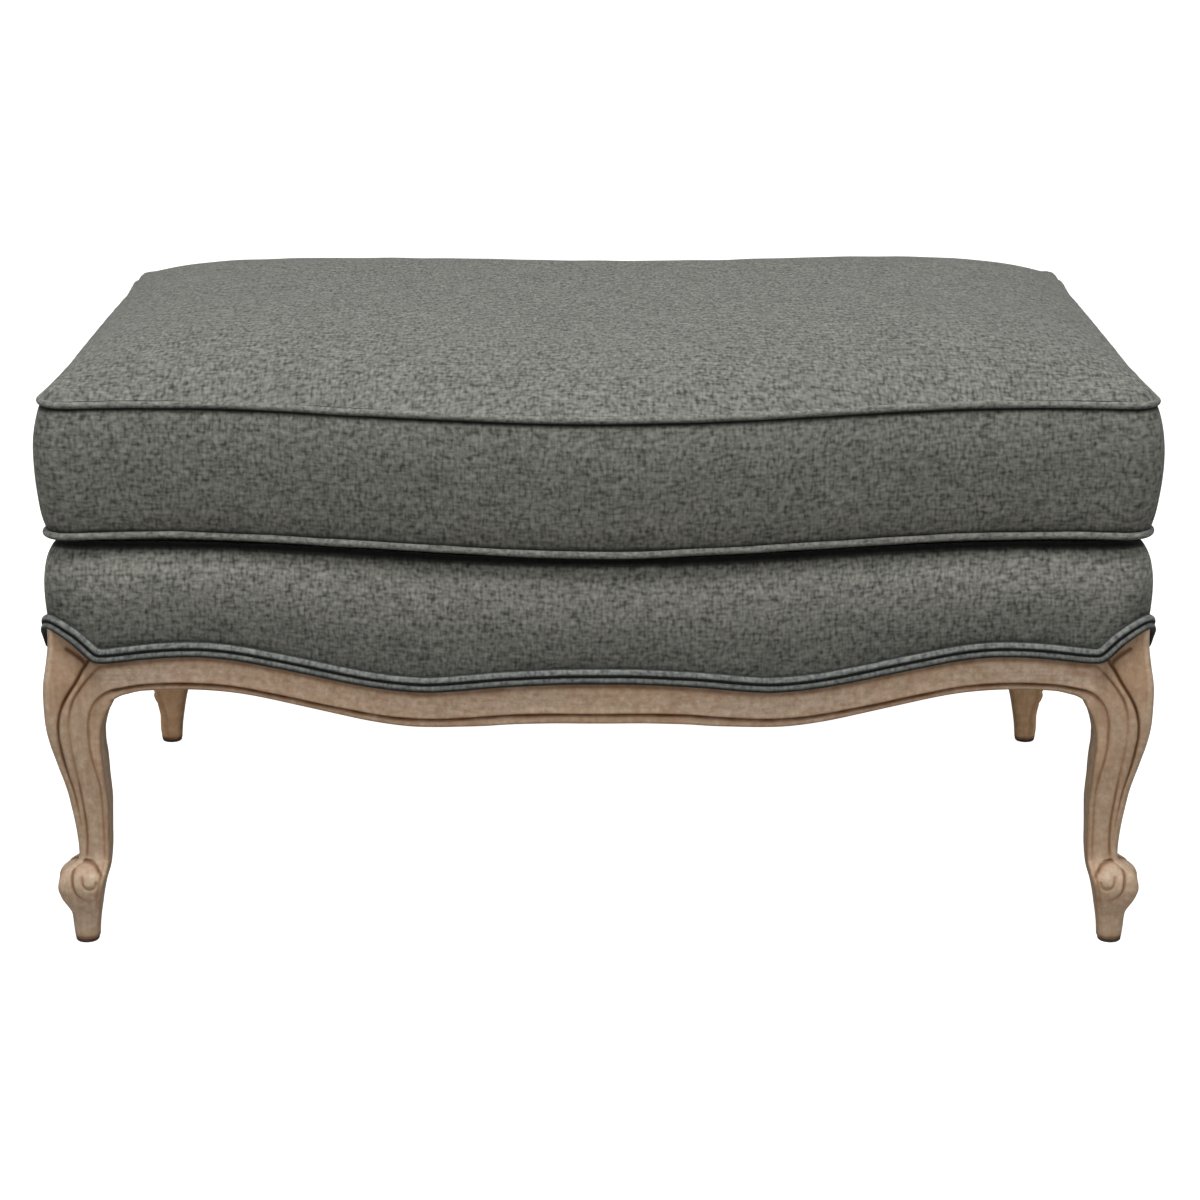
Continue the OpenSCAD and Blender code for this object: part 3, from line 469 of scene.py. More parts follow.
def woven(name, dark, light, fleck, pitch=1.25, fuzz=0.1, contrast=1.0, relief=0.00035, crease_shade=(13, 14, 14)):
    """Cloth whose threads follow the mesh, darkened to the crease colour where the mesh says: painted shade in
    its creases and recesses.
    """
    s = Shader(name, roughness=0.92)
    uv = s.node("UVMap", uv_map="weave")
    u, v = s.split(uv)[:2]
    colour, normal = cloth(s, uv, u, v, dark, light, fleck, pitch, fuzz, contrast, relief)
    # Painted shade, as the mesh gives it
    depth = s.node("Attribute", 2, attribute_name="glaze_and_shade")
    return s.finish(s.mix(depth, colour, crease_shade), normal)


def strap(name, dark, light, fleck, pitch, axes=(0, 1), contrast=1.0):
    """Cloth of a flat part whose threads follow two of the axes."""
    s = Shader(name, roughness=0.92)
    place = s.node("TexCoord", 3)
    parts = s.split(place)
    u, v = (parts[k] for k in axes)
    colour, normal = cloth(s, place, u, v, dark, light, fleck, pitch, 0.1, contrast, 0.0003)
    return s, parts, colour, normal


def wood(name, axis=None, painted_shade=0.0, painted_warm_shade=0.0):
    """Weathered, washed wood with brown glaze in its carving and painted shade where the mesh gives it. axis
    is the grain's direction; without one the grain stands upright and turns into the rails where the mesh says
    so. The last two arguments paint shade
    on it: they darken the wood, except where its grain turns into the rails, and warm it brown."""
    s = Shader(name, roughness=0.66)
    place = s.node("TexCoord", 3)
    bend = s.noise(place, 7.0, 2.0)
    cloud = s.noise(place, 26.0, 3.0)

    def along(which):
        coarse, fine = [240.0] * 3, [1300.0] * 3
        coarse[which], fine[which] = 9.0, 42.0
        return s.noise(s.scaled(place, *coarse), 1.0, 4.0, 0.62), s.noise(s.scaled(place, *fine), 1.0, 2.0)

    leg_shade = painted_shade
    if axis is None:
        turns = s.split(s.node("UVMap", uv_map="weave"))
        grain, pores = along(2)
        for which in (0, 1):
            turned = along(which)
            grain = s.node("Mix", inputs={0: turns[which], 2: grain, 3: turned[0]})
            pores = s.node("Mix", inputs={0: turns[which], 2: pores, 3: turned[1]})
        leg_shade = s.math("SUBTRACT", painted_shade, s.times(s.math("MAXIMUM", turns[0], turns[1]), painted_shade))
    else:
        grain, pores = along(axis)
    colour = s.mix(s.span(grain, 0.30, 0.72), (172, 148, 125), (217, 195, 173))
    # Small patches where the wash took more or less, and tints, some warmer and some greener
    patches, tint = s.noise(place, 190.0, 4.0, 0.6), s.noise(place, 70.0, 2.0)
    for steer, start, end, share, tone in (
        (cloud, 0.35, 0.70, 0.5, (206, 186, 167)), (bend, 0.40, 0.70, 0.4, (202, 171, 141)),
        (patches, 0.50, 0.32, 0.6, (162, 133, 106)), (patches, 0.52, 0.70, 0.6, (230, 212, 192)),
        (tint, 0.52, 0.66, 0.15, (204, 162, 143)), (tint, 0.48, 0.34, 0.15, (184, 176, 143)),
        (pores, 0.40, 0.28, 0.32, (140, 112, 86)),
    ):
        colour = s.mix(s.span(steer, start, end, 0.0, share), colour, tone)
    # Painted shade: the wood darkened, and warmed brown, as the last arguments ask
    colour = s.mix(leg_shade, colour, (128, 106, 84))
    if painted_warm_shade:
        colour = s.mix(painted_warm_shade, colour, (205, 152, 96))
    # Brown glaze in the carving, and painted shade under the trim, as the mesh gives them
    glaze_and_shade = s.node("Attribute", 2, attribute_name="glaze_and_shade")
    uneven = s.times(glaze_and_shade, s.span(s.noise(place, 60.0, 2.0), 0.2, 0.8, 0.8, 1.15), clamp=True)
    colour = s.mix(uneven, colour, s.mix(s.span(glaze_and_shade, 0.1, 0.75), (150, 103, 55), (92, 60, 30)))
    height = s.plus(s.times(grain, 0.6), s.times(pores, 0.4))
    s.surface(Specular_IOR_Level=0.3)
    return s.finish(colour, s.bump(height, 0.0002, 0.5), s.span(grain, 0.2, 0.8, 0.75, 0.56))


def plain(name, colour, other, scale, roughness=0.6, metallic=0.0, relief=0.0001):
    """A simple finish with unevenness of colour and surface. scale is per metre."""
    s = Shader(name, roughness, metallic)
    place = s.node("TexCoord", 3)
    grain = s.noise(place, scale, 3.0)
    fine = s.noise(place, scale * 6, 2.0)
    return s.finish(
        s.mix(s.span(grain, 0.3, 0.7), colour, other),
        s.bump(fine, relief, 0.6),
        s.span(grain, 0.2, 0.8, roughness - 0.08, roughness + 0.08),
    )


COVER = woven("heathered_cover", (60, 60, 56), (128, 129, 122), (34, 35, 32), contrast=0.54)
# The base band's cloth, in lighter colours than the cover's: a lit copy, with painted shade laid over it
LIGHTENED_BASE_COVER = woven(
    "base_cover_lightened", (73, 73, 69), (155, 156, 148), (42, 43, 40), contrast=0.54, crease_shade=(10, 11, 11)
)
WELT = woven("welt_cover", (80, 80, 76), (132, 133, 127), (50, 51, 49), pitch=1.1, contrast=0.6)
TRIM = woven("double_welt_cover", (80, 83, 81), (129, 132, 127), (58, 64, 66), pitch=1.1, contrast=0.65)
DECK = woven("deck_cloth_cover", (48, 48, 45), (104, 105, 99), (32, 33, 31))
CAMBRIC = woven("cambric", (16, 16, 17), (34, 34, 36), (8, 8, 9), 0.8, 0.1, 0.6, 0.0001)
BURLAP = woven("burlap", (138, 108, 68), (180, 150, 104), (92, 68, 42), 1.8)


def jute(name, axes):
    s, _, colour, normal = strap(name, (150, 118, 76), (196, 166, 118), (96, 72, 44), 2.2, axes)
    return s.finish(colour, normal)


JUTE_LONG, JUTE_CROSS = jute("jute_long", (0, 1)), jute("jute_cross", (1, 0))


# The zip's coil in metres: its middle's height, half its width, and radians of its turns per metre
COIL_Z, COIL_HALF, COIL_TURNS = (ZIP_LOW + ZIP_HIGH) / 2000, 0.00275, 3490.0


def zip_tape():
    """Dark tape, with the coil's turns along its middle."""
    s, parts, colour, normal = strap("zip_tape", (40, 42, 39), (66, 68, 64), (26, 27, 25), 0.7, (0, 2), 0.5)
    off = s.math("ABSOLUTE", s.math("SUBTRACT", parts[2], COIL_Z))
    coil = s.math("LESS_THAN", off, COIL_HALF)
    turn = s.math("MULTIPLY_ADD", s.math("SINE", s.times(parts[0], COIL_TURNS)), 0.5, 0.5)
    metal = s.mix(turn, (52, 52, 50), (128, 128, 124))
    return s.finish(s.mix(coil, colour, metal), s.bump(s.times(turn, coil), 0.0006, 0.9, normal))


TAPE = zip_tape()
FOAM = plain("foam", (232, 222, 190), (216, 202, 164), 120.0, 0.9, relief=0.0003)
WOOD_X, WOOD_Y = wood("washed_wood_x", 0), wood("washed_wood_y", 1)
# Shaded copies of one wood: the front legs darker and the rear legs browner, as painted shade
LEG_WOOD = {-1: wood("wood_front_legs_painted_shade", painted_shade=0.5), 1: wood("wood_rear_legs_painted_warm_shade", painted_warm_shade=0.5)}
RAW_WOOD = plain("raw_wood", (196, 168, 124), (176, 146, 102), 40.0, 0.75)
GLIDE = plain("glide", (44, 33, 27), (62, 47, 38), 200.0, 0.5, relief=0.0001)
STEEL = plain("steel", (150, 152, 156), (126, 128, 133), 180.0, 0.35, 1.0, 0.00004)
TACK = plain("tack", (52, 53, 60), (36, 37, 42), 160.0, 0.4, 0.9, 0.00004)
ZIP_METAL = plain("zip_metal", (150, 150, 150), (112, 112, 114), 240.0, 0.3, 1.0, 0.00003)


# Carved legs: reach outward and inward from the centre line, by height
LEG_OUT = [
    (0, 8.8), (6, 9.6), (13, 10.2), (19.5, 10.6), (25, 11.3), (31, 13.8), (37, 16.6), (42.6, 18.4), (48, 19.4),
    (52, 19), (56, 17.9), (60, 15.8), (62.7, 13), (65.2, 8.8), (67.4, 5.2), (69.5, 4.2), (74, 3.8), (80, 3.9),
    (86, 4.3), (92, 4.8), (103, 6.1), (114, 7.7), (125, 9.4), (135.6, 11.7), (147, 14.6), (157, 17),
    (167, 19.4), (182, 21.9), (196, 22.7), (208, 22.8), (219, 22.2), (233, 20), (248, 18.1), (264, 17.8),
]
# How much slimmer the rear legs' feet look, by height
REAR_SLIMMER = [(0, 0), (18, 0.4), (27, 2), (35, 4.8), (46, 5.8), (56, 5.3), (66, 1.2), (70, 0), (90, 0)]
REAR_OUT = [(z, reach - float(knots(REAR_SLIMMER, z))) for z, reach in LEG_OUT]
LEG_INNER = [
    (0, 9.4), (8, 9.9), (17, 10.7), (27, 12.2), (37.5, 13.8), (47.8, 15.9), (58, 18.9), (68, 20.3),
    (78, 21), (88, 21.2), (104, 21.7), (114, 22), (124, 21.6), (134, 21), (144, 20.7), (154, 20.1),
    (164, 19.2), (172, 19.2), (179, 20.3), (184, 21.6), (189, 23.4), (194, 25.8), (199, 28.9), (201.5, 29.5),
    (264, 29.5),
]
# Radii of the outer corner and of the faces' inner edges, by height
LEG_ROUND = [(0, 8.3), (28, 8), (48, 6.5), (70, 4.5), (200, 5), (236, 4), (264, 4)]
EDGE_ROUND = [(0, 8.3), (28, 7.5), (50, 5.5), (75, 3.8), (150, 3.4), (205, 3.4), (264, 3.8)]
# Where the leg's faces fall back behind the knee, and the rails' face from the leg's centre line
FLOW_TOP, FLOW_LOW, FLOW_FROM, RAIL_FACE = 187.0, 113.5, 4.25, LEG_IN - RAIL_BACK

# Carved lines on a leg's outer face, as (distance outward from the leg's centre line, height)
OUTER_LINE = [
    (-19, 243), (-14.7, 238), (-9.2, 230.2), (-3.4, 219.9), (2.9, 210.3), (7.4, 202.1), (10.3, 193.7),
    (11.8, 185), (12, 176.3), (11.2, 167.3), (9.9, 157.2), (7.2, 141), (4, 124.8), (2.1, 108),
    (1.4, 95.2), (1.6, 82), (2.9, 71)
]
INNER_LINE = [
    (-42, 234), (-30, 233.2), (-21.1, 230), (-13.1, 222.6), (-8.2, 216.6), (-5, 212.2), (-0.9, 205.4),
    (1.5, 197.9), (3.1, 189.4), (3.7, 180.7), (3.4, 171.8), (2.4, 158.1), (0.9, 145.9), (-0.9, 131),
    (-2.3, 117.9), (-3.6, 104), (-4, 93), (-3.8, 81), (-2.6, 69.5)
]
LOWER_LINE = [
    (-50, 215.6), (-36, 212.9), (-29.5, 211.2), (-22.8, 208), (-18, 203.8), (-14.3, 198.5),
    (-11.8, 191.1), (-10.5, 180.7), (-10.5, 167.3), (-11.8, 156), (-14.6, 143), (-16.6, 131),
    (-17.3, 115.5), (-17.2, 95.2), (-17, 80), (-16.7, 69.5), (-15.6, 60), (-12.9, 47.8), (-10.9, 37.5),
    (-9.4, 27)
]
TOP_CUT = [(2.8, 246.6), (-1.6, 243.6), (-6.8, 239.4), (-10.7, 235.2), (-12.6, 232.4)]
SCROLL_LINE = [
    (-15.6, 57.5), (-14.7, 59.7), (-10.4, 64.9), (-4.1, 67.4), (0.2, 67.7), (3.6, 66.4), (6, 63.7),
    (7.3, 58.7), (7.2, 54.6), (6.6, 50), (5.2, 45.9), (2.5, 42.4), (-1.4, 39.7), (-6.1, 39), (-12.5, 39.4)
]
CURL_LINE = [(-0.4, 58), (-0.6, 56.1), (-2.1, 51), (-6.8, 48.9), (-10.8, 50.6), (-12, 54)]
NOTCH_LINE = [(5.5, 71.6), (3.9, 69.5), (3.4, 66.5)]
# How dark the inner line is, by height
INNER_GLAZE = [(60, 0.6), (125, 0.6), (150, 0.3), (172, 0.15), (188, 0.28), (205, 0.5), (260, 0.5)]


def curve(points, steps=6):
    """A finer polyline through the points."""
    p = np.array(points, float)
    d = np.concatenate([[0], np.cumsum(np.linalg.norm(np.diff(p, axis=0), axis=1))])
    t = np.linspace(0, d[-1], steps * len(p))
    return np.stack([knots(np.stack([d, p[:, k]], 1), t) for k in (0, 1)], 1)


def line_distance(points, line):
    """Signed distance to a polyline: positive to its left as it runs, and the share of its length there."""
    a, b = line[:-1], line[1:]
    d = b - a
    rel = points[:, None, :] - a[None]
    t = unit((rel * d).sum(-1) / (d * d).sum(-1))
    gap = rel - t[..., None] * d
    dist = np.linalg.norm(gap, axis=-1)
    k = dist.argmin(1)
    row = np.arange(len(points))
    side = np.sign(d[k, 0] * rel[row, k, 1] - d[k, 1] * rel[row, k, 0])
    return dist[row, k] * side, (k + t[row, k]) / len(a)


def edge_round(d, r):
    """How far a rounded edge of radius r falls back at the distance d from it."""
    d = np.clip(d, 0, r)
    return r - np.sqrt(r * r - (r - d) ** 2)


def groove(d, depth, width):
    return depth * np.exp(-((d / width) ** 2))


def moulding(to_line, to_top):
    """Depth of a rail's face, and its glaze with painted shade under the trim, by the signed distance above
    its groove and the one to its top.
    """
    to_top = np.maximum(to_top, 0)
    share = unit(to_line / (to_line + to_top + 1e-6))
    above, below = 0.25 + 0.55 * np.sin(np.pi * share), 0.3 + 0.55 * np.exp(np.minimum(to_line, 0) / 1.3)
    depth = np.where(to_line > 0, above, below) + groove(to_line, 1.4, 0.95) + 1.6 * np.exp(-to_top / 1.3)
    glaze_and_shade = groove(to_line, 0.75, 1.6) + 0.12 * groove(to_line, 1, 4) + 0.05
    # The last part is painted shade in a band under the trim
    glaze_and_shade += 0.32 * rise(-to_line / 1.5) + 0.7 * ease(1, 0, (to_top - 4.6) / 5.4)
    return depth, glaze_and_shade


# The inner edge of the face, up the leg and on along the rail
heights = np.arange(0, 200, 2.0)
RAIL_TURN = [(-29.5, 202.2), (-35.8, 205.9), (-43.6, 208.1), (-50, 209.7)]
INNER_EDGE = np.concatenate([pairs(-knots(LEG_INNER, heights), heights), RAIL_TURN])


def carving(f, z):
    """How far the wood of an outer face lies below its plain surface, and how much glaze and painted shade
    under the trim it holds.
    """
    p = np.stack([f.ravel(), z.ravel()], 1)
    f1, zz = p.T

    def off(line):
        return line_distance(p, curve(line))[0]

    outer, inner, lower, cut = off(OUTER_LINE), off(INNER_LINE), off(LOWER_LINE), off(TOP_CUT)
    fade = rise((zz - 66) / 10)
    soft = ease(0.35, 1, (zz - 110) / 70)
    sink = ease(0.25, 1, (zz - 75) / 100)
    low_fade = rise((zz - 24) / 14)
    # Each line's signed distance is positive on its outer side
    bead = (outer <= 0) & (inner > 0)
    face = (inner <= 0) & (lower > 0)
    to_outer, to_inner, to_lower = np.abs(outer), np.abs(inner), np.abs(lower)
    depth = 0.45 * np.exp(-to_outer / 1.4)
    share = to_outer / (to_outer + to_inner + 1e-6)
    depth = np.where(bead, (1.3 - 0.95 * np.sin(np.pi * share) ** 0.8) * sink, depth)
    share = to_inner / (to_inner + to_lower + 1e-6)
    depth = np.where(face, (1.15 + 0.6 * np.sin(np.pi * share)) * sink, depth)
    depth = depth * fade
    strip = (0.35 + 0.8 * np.exp(-to_lower / 1.8)) * sink
    depth = np.where(lower <= 0, strip * low_fade, depth)
    depth += groove(outer, 1.2, 0.95) * fade + groove(inner, 0.8, 0.95) * soft * fade
    depth += groove(lower, 0.8, 0.95) * low_fade * (0.4 + 0.6 * soft)
    faint = knots(INNER_GLAZE, zz)
    glaze_and_shade = groove(outer, 0.7, 1.5) * fade + groove(inner, 1, 1.4) * faint * fade
    glaze_and_shade += groove(lower, 0.5, 1.3) * low_fade * (0.5 + 0.5 * soft)
    near = np.minimum(np.minimum(to_outer, to_inner), to_lower)
    glaze_and_shade += 0.2 * np.exp(-near / 3) * fade + np.where(lower < -1, 0.14, 0) * rise((zz - 125) / 25)
    glaze_and_shade += np.where(outer > 0, 0.42, 0.14) * rise((zz - 185) / 30)
    inside = unit((f1 - TOP_CUT[-1][0]) / 3)
    depth += groove(cut, 0.8, 1.2) * inside
    glaze_and_shade += groove(cut, 0.7, 1.6) * inside
    # Towards the rail the face becomes the rail's
    top = trim_z(pairs(LEG_X + f1, BASE_HD)) - TRIM_GAP
    rail_depth, rail_glaze = moulding(lower, top - zz)
    w = rise((-13 - f1) / 13) * rise((zz - 182) / 20)
    depth, glaze_and_shade = depth * (1 - w) + rail_depth * w, glaze_and_shade * (1 - w) + rail_glaze * w
    # Painted shade under the trim
    glaze_and_shade = np.maximum(glaze_and_shade, 0.6 * ease(1, 0, (top - zz - 2.4) / 2.8))
    # The round scroll of the foot
    scroll, share = line_distance(p, curve(SCROLL_LINE))
    curl, notch = off(CURL_LINE), off(NOTCH_LINE)
    rho = np.hypot((f1 + 3.7) / 11.0, (zz - 53.3) / 14.3)
    ball = np.hypot(f1 + 5.9, zz - 56.4) / 5.6
    depth -= 1.3 * unit(1 - rho**2) ** 0.5 + unit(1 - ball**2) ** 0.5
    strong = np.interp(share, [0, 0.08, 0.6, 0.8, 1], [0.3, 1, 0.9, 0.45, 0.1])
    depth += groove(scroll, 1.7, 1.3) * strong + groove(curl, 0.9, 1.2) + groove(notch, 1.1, 1.0)
    glaze_and_shade += groove(scroll, 0.9, 1.5) * strong + groove(curl, 0.5, 1.5) + groove(notch, 0.8, 1.3)
    # The rounded inner edge, which runs on along the rail
    gap, _ = line_distance(p, INNER_EDGE)
    depth += edge_round(np.abs(gap), knots(EDGE_ROUND, zz))
    glaze_and_shade += groove(gap, 0.4, 1.5)
    return depth.reshape(f.shape), unit(glaze_and_shade).reshape(f.shape)


# Steps round a leg: a face, the outer corner, a side behind a face and the inner corner
FACE_N, ARC_N, SIDE_N, ROUND_N = 84, 12, 8, 6
# Heights of a leg's level rings (from, to, steps). Above them the rings climb to the trim.
LEVELS = [(GLIDE_TOP, 30, 15), (30, 76, 83), (76, 180, 75), (180, 228, 83)]
LEVEL_TOP, CLIMB_N = 228.0, 27


def section(z, reach):
    """Points of the leg's rings round its centre line for the heights z (rows, columns), and their glaze and
    painted shade.
    """
    a, b = knots(LEG_INNER, z), knots(reach, z)
    r = np.minimum(knots(LEG_ROUND, z), (a + b) / 2 - 0.5)
    s = np.minimum(knots(EDGE_ROUND, z), 5)
    quarter = np.linspace(0, np.pi / 2, ARC_N + 1)[1:-1]
    small = np.linspace(0, np.pi / 2, ROUND_N + 1)[1:-1]
    t, k = np.linspace(0, 1, FACE_N + 1), np.arange(1, SIDE_N + 1) / SIDE_N
    counts = [len(quarter), len(t), len(k), len(small), len(k), len(t)]
    ends = np.cumsum([0] + counts)
    parts = [slice(i, j) for i, j in zip(ends[:-1], ends[1:])]
    x, y, marks, turned = np.zeros(z.shape), np.zeros(z.shape), np.zeros(z.shape), np.zeros((*z.shape, 2))

    def at(part):
        return a[:, part], b[:, part], r[:, part], s[:, part]

    arc, front, left, turn, back, side = parts
    pa, pb, pr, ps = at(arc)
    x[:, arc], y[:, arc] = pb - pr + pr * np.cos(quarter), pb - pr + pr * np.sin(quarter)
    edges = []
    for part, order in ((front, 1), (side, -1)):
        pa, pb, pr, ps = (q[:, ::order] for q in at(part))
        f = (pb - pr) * (1 - t) - pa * t
        depth, glaze_and_shade = carving(f, z[:, part][:, ::order])
        fade = unit((pb - pr + 0.5 - f) / 2.0)
        depth, glaze_and_shade = depth * fade, glaze_and_shade * fade
        across, along = (x, y) if order == 1 else (y, x)
        across[:, part], along[:, part] = f[:, ::order], (pb - depth)[:, ::order]
        marks[:, part] = glaze_and_shade[:, ::order]
        into = rise((-17 - f) / 10) * rise((z[:, part][:, ::order] - 188) / 14)
        turned[:, part, 0 if order == 1 else 1] = 1000 * into[:, ::order]
        edges.append((pb - depth)[:, -1:])
    pa, pb, pr, ps = at(left)
    x[:, left], y[:, left] = -pa, edges[0] * (1 - k) + (ps - pa) * k
    pa, pb, pr, ps = at(turn)
    x[:, turn], y[:, turn] = -pa + ps - ps * np.cos(small), -pa + ps - ps * np.sin(small)
    pa, pb, pr, ps = at(back)
    x[:, back], y[:, back] = (ps - pa) * k[::-1] + edges[1] * (1 - k[::-1]), -pa
    # Behind the knee the faces fall back to the rails' faces
    fall = np.maximum(b - RAIL_FACE, 0) * rise((z - FLOW_LOW) / (FLOW_TOP - FLOW_LOW))
    new_x = x - fall * rise((FLOW_FROM - y) / (FLOW_FROM + a)) * (x + a) / (a + b)
    new_y = y - fall * rise((FLOW_FROM - x) / (FLOW_FROM + a)) * (y + a) / (a + b)
    return np.stack([new_x, new_y, z], -1), marks, turned


def leg_points(reach):
    """Rings of one leg from its glide to the trim, their glaze and painted shade, and how far the grain turns
    into the rails.
    """
    level = np.concatenate([np.linspace(*steps, endpoint=False) for steps in LEVELS] + [[LEVEL_TOP]])
    columns = ARC_N - 1 + 2 * (FACE_N + 1) + 2 * SIDE_N + ROUND_N - 1
    plan = section(np.full((1, columns), LEVEL_TOP), reach)[0][0]
    top = np.maximum(trim_z(plan[:, :2] + [LEG_X, LEG_Y]) - TRIM_GAP, LEVEL_TOP + 1)
    climb = np.linspace(0, 1, CLIMB_N + 1)[1:, None]
    z = np.concatenate([np.repeat(level[:, None], columns, 1), LEVEL_TOP + (top - LEVEL_TOP) * climb])
    rings, marks, turned = section(z, reach)
    # A dark rim above the glide
    marks = np.maximum(marks, 0.9 * ease(1, 0, (z - GLIDE_TOP - 0.5) / 4.5))
    return rings, marks, np.concatenate([turned, turned[:, :1]], 1)


for end, ends, reach in ((-1, "front", LEG_OUT), (1, "rear", REAR_OUT)):
    rings, marks, turned = leg_points(reach)
    for side, sides in ((-1, "left"), (1, "right")):
        points = (rings + [LEG_X, LEG_Y, 0]) * [side, end, 1.0]
        parts = capped(points, turned, marks, 0.3, side * end < 0)
        made = make(f"carved_leg_{ends}_{sides}", parts, LEG_WOOD[end], sharp=55)
        dress(made, "frame", "weathered_wood", f"leg_{ends}_{sides}")


# Moulded rails
def rail_grid(along, top, line, low, bead):
    """Section points at stations along a rail: (stations, points, [along, inset, height]) and their glaze and
    painted shade.
    """
    top = top - TRIM_GAP
    rows = [low + h * bead / 3.5 for h in (0, 0.12, 0.4, 0.85, 1.4, 2.1, 2.9, 3.5)]
    rows += [line + h for h in (-2.2, -1.5, -1.0, -0.6, -0.3, 0, 0.3, 0.6, 1.0, 1.5, 2.2, 3.6, 6, 9, 12)]
    rows += [top - h for h in (8, 5.5, 4, 3, 2.2, 1.5, 1.0, 0.5, 0.1)]
    z = np.sort(np.stack(rows, 1), axis=1)
    depth, glaze_and_shade = moulding(z - line[:, None], top[:, None] - z)
    to_low = z - low[:, None]
    depth = depth + edge_round(to_low, bead[:, None])
    glaze_and_shade = unit(glaze_and_shade + groove(to_low, 0.45, 1.2))
    inset = RAIL_BACK + depth
    closing = [(REBATE, top - 0.1), (REBATE, FRAME_TOP + 0 * top), (RAIL_IN, FRAME_TOP + 0 * top)]
    closing += [(RAIL_IN, low), (RAIL_BACK + 14, low)]
    for back, height in closing:
        inset, z, glaze_and_shade = (
            np.concatenate([grid, pairs(along, new)[:, 1:]], 1)
            for grid, new in ((inset, back), (z, height), (glaze_and_shade, 0.2))
        )
    return np.stack([np.broadcast_to(along[:, None], z.shape), inset, z], -1), glaze_and_shade


def rail(side, across, way, grid, glaze_and_shade):
    """One rail. across is the axis across it, and way is -1 at the rear and right."""
    along, inset, z = np.moveaxis(grid, -1, 0)
    out = way * (inset - (BASE_HW, BASE_HD)[across])
    if side == "front":
        out = out - BASE_BOW * bow_at(along, BASE_HW - BOW_END)
    points = np.stack([along, out, z] if across else [out, along, z], -1)
    parts = capped(points, None, glaze_and_shade, 0.0, side in ("rear", "left"))
    made = make(f"moulded_rail_{side}", parts, WOOD_X if across else WOOD_Y, sharp=55)
    dress(made, "frame", "weathered_wood", f"rail_{side}")


# The round of a rail's lower edge, in the middle and at its ends
EDGE_MID, EDGE_END = 3.2, 3.8
x = np.linspace(-RAIL_END_X, RAIL_END_X, 260)
d = np.abs(x)
edge = ease(EDGE_MID, EDGE_END, (d - 300) / 78)
grid, glaze_and_shade = rail_grid(x, knots(TOP_LINE, d), knots(GROOVE_LINE, d), knots(LOW_LINE, d), edge)
rail("front", 1, 1, grid, glaze_and_shade)
rail("rear", 1, -1, grid, glaze_and_shade)
y = np.linspace(-RAIL_END_Y, RAIL_END_Y, 170)
d = np.abs(y)
top, edge = wave_short(d), ease(EDGE_MID, EDGE_END, (d - 150) / 73)
low = top - ease(34.6, 30.9, d / 150) - 3.2 * np.maximum(0, 1 - (RAIL_END_Y - d) / 11) ** 2
grid, glaze_and_shade = rail_grid(y, top, top - ease(27.2, 25.2, d / 150), low, edge)
rail("left", 0, 1, grid, glaze_and_shade)
rail("right", 0, -1, grid, glaze_and_shade)


# Padded base
BAND_N = (90, 58, 12)
BAND_LINE = [
    (0, 1.3), (0.12, 2.6), (0.3, 3.9), (0.45, 4.4), (0.6, 3.9), (0.74, 2.3), (0.84, 0.2),
    (0.92, -2.6), (0.97, -5.2), (1, -9)
]
# Painted shade, darker towards the bottom of the band: how much it is darkened, by share of the height
BAND_SHADE = [(0, 0.5), (0.26, 0.45), (0.4, 0.38), (0.5, 0.3), (0.62, 0.2), (0.72, 0.1), (0.82, 0), (1, 0)]


def padded_base():
    base = trim_z(oblong(BASE_HW, BASE_HD, BASE_R, BAND_N)) + 4
    along = arc_lengths(base_ring(0, BAND_N))
    share = np.concatenate([np.linspace(0, 0.8, 18), np.linspace(0.8, 1, 10)[1:]])
    rows, uv = [], []
    for u in share:
        z = base + (DECK_TOP - base) * u
        rows.append(lift(base_ring(float(knots(BAND_LINE, u)), BAND_N), z))
        uv.append(pairs(along, np.append(z, z[0])))
    points = np.stack(rows)
    slope = np.sin(np.pi * share)[:, None] ** 0.7
    soft = waves(points, 130.0, 4, 2) * 0.55 * slope
    points[..., :2] += outward(points - np.roll(points, 1, 1)) * soft[..., None]
    # Painted shade where it goes in under the cushion and down behind the welt, and towards the bottom
    over_trim = points[:, :, 2] - (base - 4)[None]
    tuck, rim = rise((share[:, None] - 0.92) / 0.05), ease(1, 0, (over_trim - 11) / 2.6)
    dark = np.maximum(np.maximum(0.97 * tuck, 0.85 * rim), 0.1 * ease(1, 0, (over_trim - 12) / 14))
    dark = 1 - (1 - dark) * (1 - knots(BAND_SHADE, share)[:, None])
    outer = patch(points, uv, around=True, glaze_and_shade=dark)
    # Turned in under the cushion, and closed behind
    inner = [(-16, DECK_TOP), (-16, DECK_TOP - 30), (-11.4, base + 2), (0, base - 2)]
    rear = [points[-1]] + [lift(base_ring(g, BAND_N), z) for g, z in inner] + [points[0]]
    rim_uv = [pairs(along, DECK_TOP + 9 * k) for k in range(len(rear))]
    made = make("padded_base_cover", [outer, patch(rear, rim_uv, around=True)], LIGHTENED_BASE_COVER)
    dress(made, "frame", "cover_fabric", "base_band", "edge_padding")


padded_base()

DECK_N = (60, 38, 8)


